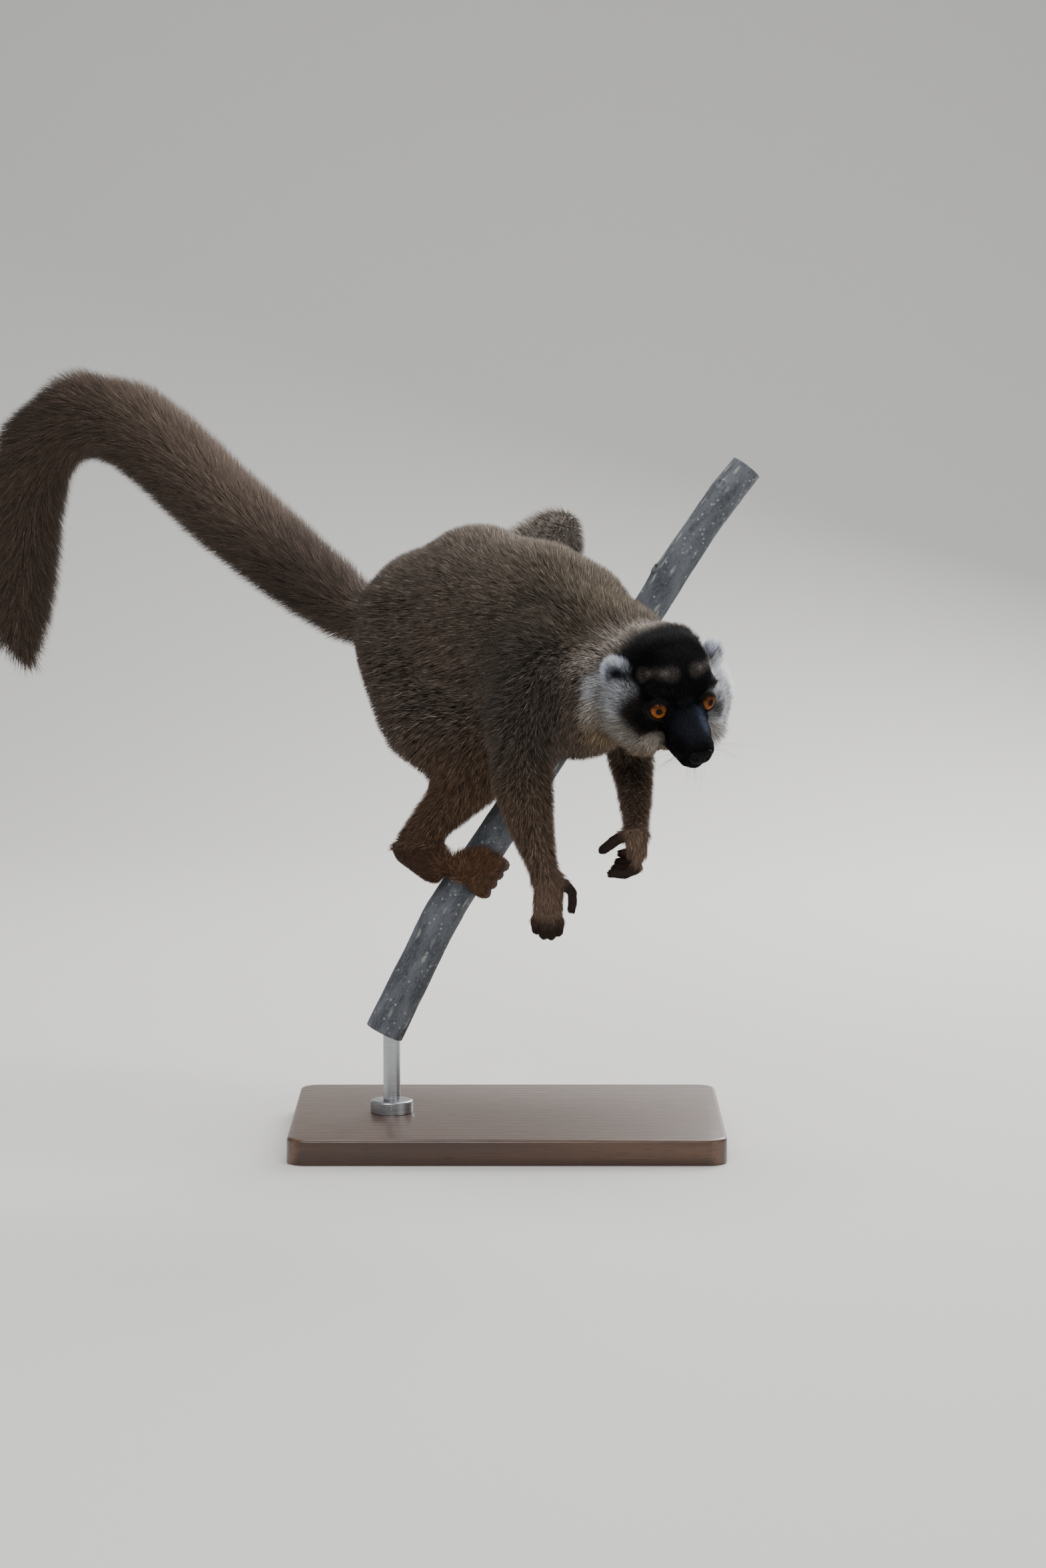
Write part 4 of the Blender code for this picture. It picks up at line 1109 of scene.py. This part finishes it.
# From the pupil's edge, share 0, to the iris's, share 1: spokes of lighter and darker orange, with
# painted shade of the upper lid on top, painted light on the lower part, a dark ring round the pupil
# and a darker one at the edge.
share = (angles - PUPIL_EDGE) / (IRIS_EDGE - PUPIL_EDGE)
lid_shadow = 1 - 0.8 * step_up(np.sin(turns) * share[:, None], -0.1, 0.6)
spokes_and_painted_light = (0.65 + 0.45 * spokes) * (1 - 0.35 * np.sin(turns))
shades = rgb("844b1e") * (spokes_and_painted_light * lid_shadow)[:, :, None]
shades[share < 0.16] *= (0.62, 0.5, 0.5)
rim = step_up(share, 0.6, 0.95)[:, None, None]
shades = shades * (1 - rim) + rgb("2a1208") * rim
shades[share < 0] = rgb("050404")
shades[share > 1] = rgb("1c120d")
ball_points, ball_faces, ball_tones = [], [], []
for number, (centre, gaze, *_) in enumerate(eye_frames.values()):
    look = (gaze + left * math.tan(LOOK_LEFT) - above * math.tan(LOOK_DOWN)).normalized()
    sideways = above.cross(look).normalized()
    around = (np.cos(turns)[:, None] * np.array(sideways)
              + np.sin(turns)[:, None] * np.array(look.cross(sideways)))
    ways = np.cos(angles)[:, None, None] * np.array(look) + np.sin(angles)[:, None, None] * around
    ball_points.append((np.array(centre) + ways * radii[:, None, None]).reshape(-1, 3))
    faces = tube_faces(EYE_RINGS + 1, EYE_SIDES)[:, [0, 3, 2, 1]]
    ball_faces.append(faces + number * len(ball_points[0]))
    ball_tones.append(shades.reshape(-1, 3))
ball_mesh = mesh_of("eyes", np.concatenate(ball_points), [np.concatenate(ball_faces)])
paint(ball_mesh, "eye_tone", np.concatenate(ball_tones))
wet, *_ = toned_material("wet eye", "eye_tone", Roughness=0.5, Specular_IOR_Level=0.0,
                         Coat_Weight=0.3, Coat_Roughness=0.02, Coat_IOR=1.4)
new_piece("eyes", ball_mesh, wet, ["eye_left", "eye_right"])

# ---------------------------------------------------------------- head: nose pad
# The bare black nose pad: damp, pebbled leather with a comma-shaped nostril on each side and a
# groove down its middle. It is pressed out of one ball.

NOSE_HALF = np.array([7.5, 3.9, 5.4])
NOSE_MIDDLE = np.array([0, 33.4, -20.0])
clay = bmesh.new()
bmesh.ops.create_uvsphere(clay, u_segments=96, v_segments=64, radius=1.0)
pad_mesh = mesh_from(clay, "nose_pad")
pad = corners_of(pad_mesh)
boxy = pad / (np.abs(pad) ** 3).sum(axis=1, keepdims=True) ** (1 / 3)
pad = (pad * 0.45 + boxy * 0.55) * NOSE_HALF
pad[:, 0] *= 1 + 0.16 * step_up(pad[:, 2], -3, 4)
pad_out = unit(pad / NOSE_HALF ** 2)
ahead = step_up(pad[:, 1], -1.5, 0.5)
side_of = np.abs(pad[:, 0])
nostril = bump_at(np.hypot((side_of - 4.4) / 1.7, (pad[:, 2] + 0.6) / 1.25), 0, 0.9) * ahead
slit = (bump_at(pad[:, 2] - (side_of - 4.4) * 0.45, -0.5, 0.55) * step_up(side_of, 4.2, 5.4)
        * step_up(pad[:, 1], -3, 0))
groove = bump_at(pad[:, 0], 0, 0.45) * ahead * step_up(-pad[:, 2], -2, 2)
wing = bump_at(np.hypot(side_of - 4.6, pad[:, 2] - 1.6), 2.6, 1.2) * ahead
pad = pad + pad_out * (wing * 0.35 - np.maximum(nostril * 2.0, slit * 1.1) - groove * 0.7)[:, None]
pad = np.array(between_eyes) + ((pad + NOSE_MIDDLE + (0, EYE_BEHIND, 0)) * MM) @ HEAD_AXES
move_corners(pad_mesh, pad)
leather, tree, shader = new_material("damp nose leather", Base_Color=linear("050506"), Roughness=0.6,
                                     Specular_IOR_Level=0.06, Coat_Weight=0.06, Coat_Roughness=0.3)
place_node = add(tree, "ShaderNodeTexCoord").outputs["Object"]
# Pebbles 0.6 mm across.
pebbles = add(tree, "ShaderNodeTexVoronoi", {"Vector": place_node, "Scale": 1700.0})
dents = add(tree, "ShaderNodeBump", {"Height": pebbles.outputs["Distance"], "Strength": 0.5,
                                     "Distance": 0.3 * MM})
wire(tree, shader, Normal=dents.outputs[0])
new_piece("nose_pad", pad_mesh, leather, ["nose"])

# ---------------------------------------------------------------- head: ears
# Small round ears, each a dished flap of skin with long pale fur outside and along its edge and
# bare dark skin deep inside. The tufts fan out from the root of the ear.

EAR_FUR_LENGTH = 8.5  # millimetres
for side, sign in (("left", 1), ("right", -1)):
    ear = loose_object(merged_node("ear_" + side, 0))
    finer = ear.modifiers.new("even", "REMESH")
    finer.mode, finer.voxel_size = "VOXEL", 0.6 * MM
    flap = plain_mesh(ear)
    ear_points = spread(corners_of(flap), edges_of(flap), 6)
    ear_root = np.array(head_point(sign * 27, *in_head(ear_points).mean(axis=0)[1:] - (-2, 6)))
    ear_points = ear_root + (ear_points - ear_root) * 0.84 - np.array(left) * (2.6 * MM * (sign < 0))
    move_corners(flap, ear_points)
    ear_outward = normals_of(flap)
    in_ear = in_head(ear_points)
    ear_middle = in_ear.mean(axis=0)
    hollow = unit(ear_points - np.array(head_point(*ear_middle)))
    inner = step_up(-np.sum(hollow * ear_outward, axis=1), -0.35, 0.15)
    rise = (in_ear - ear_middle) / np.abs(in_ear - ear_middle).max(axis=0)
    front_side = step_up(ear_outward @ np.array(forward), 0.0, 0.5)
    inner = np.maximum(inner, front_side * step_up(-np.hypot(rise[:, 0], rise[:, 2]), -0.8, -0.4))
    ear_tone = layered("b4b8c4", ("232127", inner), ("8f93a0", step_up(-rise[:, 2], 0.2, 1.0) * 0.4),
                       ("2c2b31", step_up(-sign * rise[:, 0], 0.0, 0.8) * 0.85))
    root = np.array(head_point(sign * 25, ear_middle[1] + 3, ear_middle[2] - 9))
    ear_ways = laid_flat(unit(ear_points - root) * 1.0 + np.array(-forward) * 0.5, ear_outward)
    paint(flap, "skin_tone", ear_tone * 0.4)
    even = np.ones(len(ear_points))
    ear_ground = coat_ground(flap, ear_points, ear_outward, ear_ways, ear_tone,
                             even * EAR_FUR_LENGTH * (1 - 0.4 * inner), even * 0.3, even * 2.8 * MM,
                             1 - 0.8 * inner)
    new_piece("ear_%s_skin" % side, flap, skin_finish, ["ear_" + side])
    grow_coat("coat_ear_" + side, ear_ground, 4500, 11 + sign, light=0.3, lean=0.45)

# ---------------------------------------------------------------- hands and feet: nails
# A small, dark, arched nail of horn lies on the last joint of every finger and toe. It is smooth and
# a little worn, with only a weak shine. Each is pressed out of one ball.

nail_clay = bmesh.new()
bmesh.ops.create_uvsphere(nail_clay, u_segments=20, v_segments=12, radius=1.0)
nail_pattern = mesh_from(nail_clay, "nail")
nail_shape = corners_of(nail_pattern)
nail_shape[:, 2] -= 0.35 * nail_shape[:, 0] ** 2 + 0.25 * np.maximum(nail_shape[:, 1], 0) ** 2
three = np.array([face.vertices[:] for face in nail_pattern.polygons if len(face.vertices) == 3])
four = np.array([face.vertices[:] for face in nail_pattern.polygons if len(face.vertices) == 4])
nail_points = []
for name, digits in DIGITS.items():
    for digit in digits:
        (before, _), (end, radius) = digit[-2:]
        way = (Vector(end) - Vector(before)).normalized()
        first = Vector(digit[0][0])
        away = Vector(end) - (first + Vector(before)) / 2
        if name in GRIPS:
            start, finish, share, *_ = GRIPS[name]
            away = Vector(end) - start.lerp(finish, share) / MM
        away = (away - way * away.dot(way)).normalized()
        nail_axes = np.array([way.cross(away), way, away])
        sized = nail_shape * (radius * 0.55, radius * 0.7, radius * 0.24)
        nail_middle = Vector(end) + away * radius * 0.8 + way * radius * 0.4
        nail_points.append(np.array(nail_middle) + sized @ nail_axes)
count = len(nail_points)
nail_mesh = mesh_of("nails", np.concatenate(nail_points) * MM,
                    [np.concatenate([three + n * len(nail_shape) for n in range(count)]),
                     np.concatenate([four + n * len(nail_shape) for n in range(count)])])
horn, *_ = new_material("dark horn", Base_Color=linear("171211"), Roughness=0.6,
                        Specular_IOR_Level=0.12)
new_piece("nails", nail_mesh, horn)

# ---------------------------------------------------------------- head: whiskers
# Long, fine, curved bristles: pale ones from the sides of the muzzle, dark ones under the chin
# and a few over the eyes. They are drawn a little thicker than the real hairs.

rng = np.random.default_rng(31)
bristles = []
for sign in (1, -1):
    for number in range(13):
        root = Vector((sign * rng.uniform(8, 11), rng.uniform(20, 31), rng.uniform(-24, -17)))
        way = Vector((sign * rng.uniform(0.8, 1.2), rng.uniform(-0.1, 0.7), rng.uniform(-0.5, 0.35)))
        bristles.append((root, way, rng.uniform(26, 44), "b8b4ae" if sign > 0 else "242120"))
    for number in range(4):
        root = Vector((sign * rng.uniform(12, 17), rng.uniform(2, 6), rng.uniform(11, 14)))
        way = Vector((sign * rng.uniform(0.2, 0.6), 0.6, 1.0))
        bristles.append((root, way, rng.uniform(14, 24), "2c2724"))
for number in range(22):
    root = Vector((rng.uniform(-8, 8), rng.uniform(8, 28), rng.uniform(-34, -30)))
    way = Vector((root.x * 0.06 + rng.uniform(-0.3, 0.3), rng.uniform(-0.1, 0.7), -1))
    bristles.append((root, way, rng.uniform(12, 22), "3a3430" if number % 3 else "a09a93"))
BRISTLE_STEPS = 9
hair_points, hair_tones = [], []
for root, way, length, colour in bristles:
    way = way.normalized()
    sideways = way.orthogonal().normalized()
    sag = Vector((0, -0.5, -0.8)) * rng.uniform(0.1, 0.45)
    for step in range(BRISTLE_STEPS):
        share = step / (BRISTLE_STEPS - 1)
        spot = root + (way * share + sag * share * share) * length
        thick = 0.07 * (1 - 0.85 * share)
        for corner in range(3):
            turn = corner * 2 * math.pi / 3
            ring = sideways * math.cos(turn) + way.cross(sideways) * math.sin(turn)
            hair_points.append(head_point(*(spot + ring * thick)))
            hair_tones.append(rgb(colour))
firsts = np.arange(len(bristles)) * BRISTLE_STEPS * 3
end = (BRISTLE_STEPS - 1) * 3
side_faces = (firsts[:, None, None] + tube_faces(BRISTLE_STEPS, 3)).reshape(-1, 4)
cap_faces = (firsts[:, None, None] + np.array([[2, 1, 0], [end, end + 1, end + 2]])).reshape(-1, 3)
bristle_mesh = mesh_of("whiskers", np.array([tuple(point) for point in hair_points]),
                       [side_faces, cap_faces])
paint(bristle_mesh, "hair_tone", np.array(hair_tones))
new_piece("whiskers", bristle_mesh, hair)

# ---------------------------------------------------------------- room: floor, lights and camera
# A sheet of matt pale paper makes the floor and sweeps up behind the model. The light is soft studio
# light, the strongest from above, with a small lamp in front for the gleam in the eyes.

pale, *_ = new_material("matt pale paper", Base_Color=linear("dcdad6"), Roughness=0.9)
SWEEP_START, SWEEP_RADIUS, SWEEP_HALF, SWEEP_TOP = 1.6, 1.5, 7.0, 6.0  # metres
curve = [(-7.0, 0.0), (SWEEP_START, 0.0)]
for step in range(1, 25):
    turn = math.pi / 2 * step / 24
    curve.append((SWEEP_START + SWEEP_RADIUS * math.sin(turn), SWEEP_RADIUS * (1 - math.cos(turn))))
curve.append((SWEEP_START + SWEEP_RADIUS, SWEEP_TOP))
sweep_points = [(x, y, z) for y, z in curve for x in (-SWEEP_HALF, SWEEP_HALF)]
sweep_faces = np.array([(2 * i, 2 * i + 1, 2 * i + 3, 2 * i + 2) for i in range(len(curve) - 1)])
floor = bpy.data.objects.new("floor", mesh_of("floor", np.array(sweep_points), [sweep_faces]))
bpy.context.scene.collection.objects.link(floor)
floor.data.materials.append(pale)

world = bpy.data.worlds.new("studio")
world.use_nodes = True
world.node_tree.nodes["Background"].inputs["Color"].default_value = linear("dfe4ea")
world.node_tree.nodes["Background"].inputs["Strength"].default_value = 0.42
bpy.context.scene.world = world
middle = Vector((0.01, 0, 0.3))
# Each lamp: its place and the width of its square face in metres, and its power in watts.
LAMPS = {"key": ((-1.1, -1.9, 1.9), 1.5, 19), "top": ((0.2, 0.35, 2.3), 1.6, 50),
         "rim": ((0.9, 1.7, 1.3), 1.2, 42), "fill": ((1.9, -1.5, 0.9), 1.6, 11),
         "glint": ((-0.13, -2.36, 1.41), 0.42, 14)}


def placed(name, data, place, aim):
    """A lamp or camera at a place, turned towards an aim."""
    holder = bpy.data.objects.new(name, data)
    holder.location = place
    holder.rotation_euler = (aim - holder.location).to_track_quat("-Z", "Y").to_euler()
    bpy.context.scene.collection.objects.link(holder)
    return holder


for name, (place, size, power) in LAMPS.items():
    light = bpy.data.lights.new(name, "AREA")
    light.size, light.energy = size, power
    placed(name, light, place, middle)

lens = bpy.data.cameras.new("camera")
lens.lens, lens.sensor_width = 100, 36
bpy.context.scene.camera = placed("camera", lens, (0.011, -3.0194, 0.5663), Vector((0.011, 0, 0.249)))
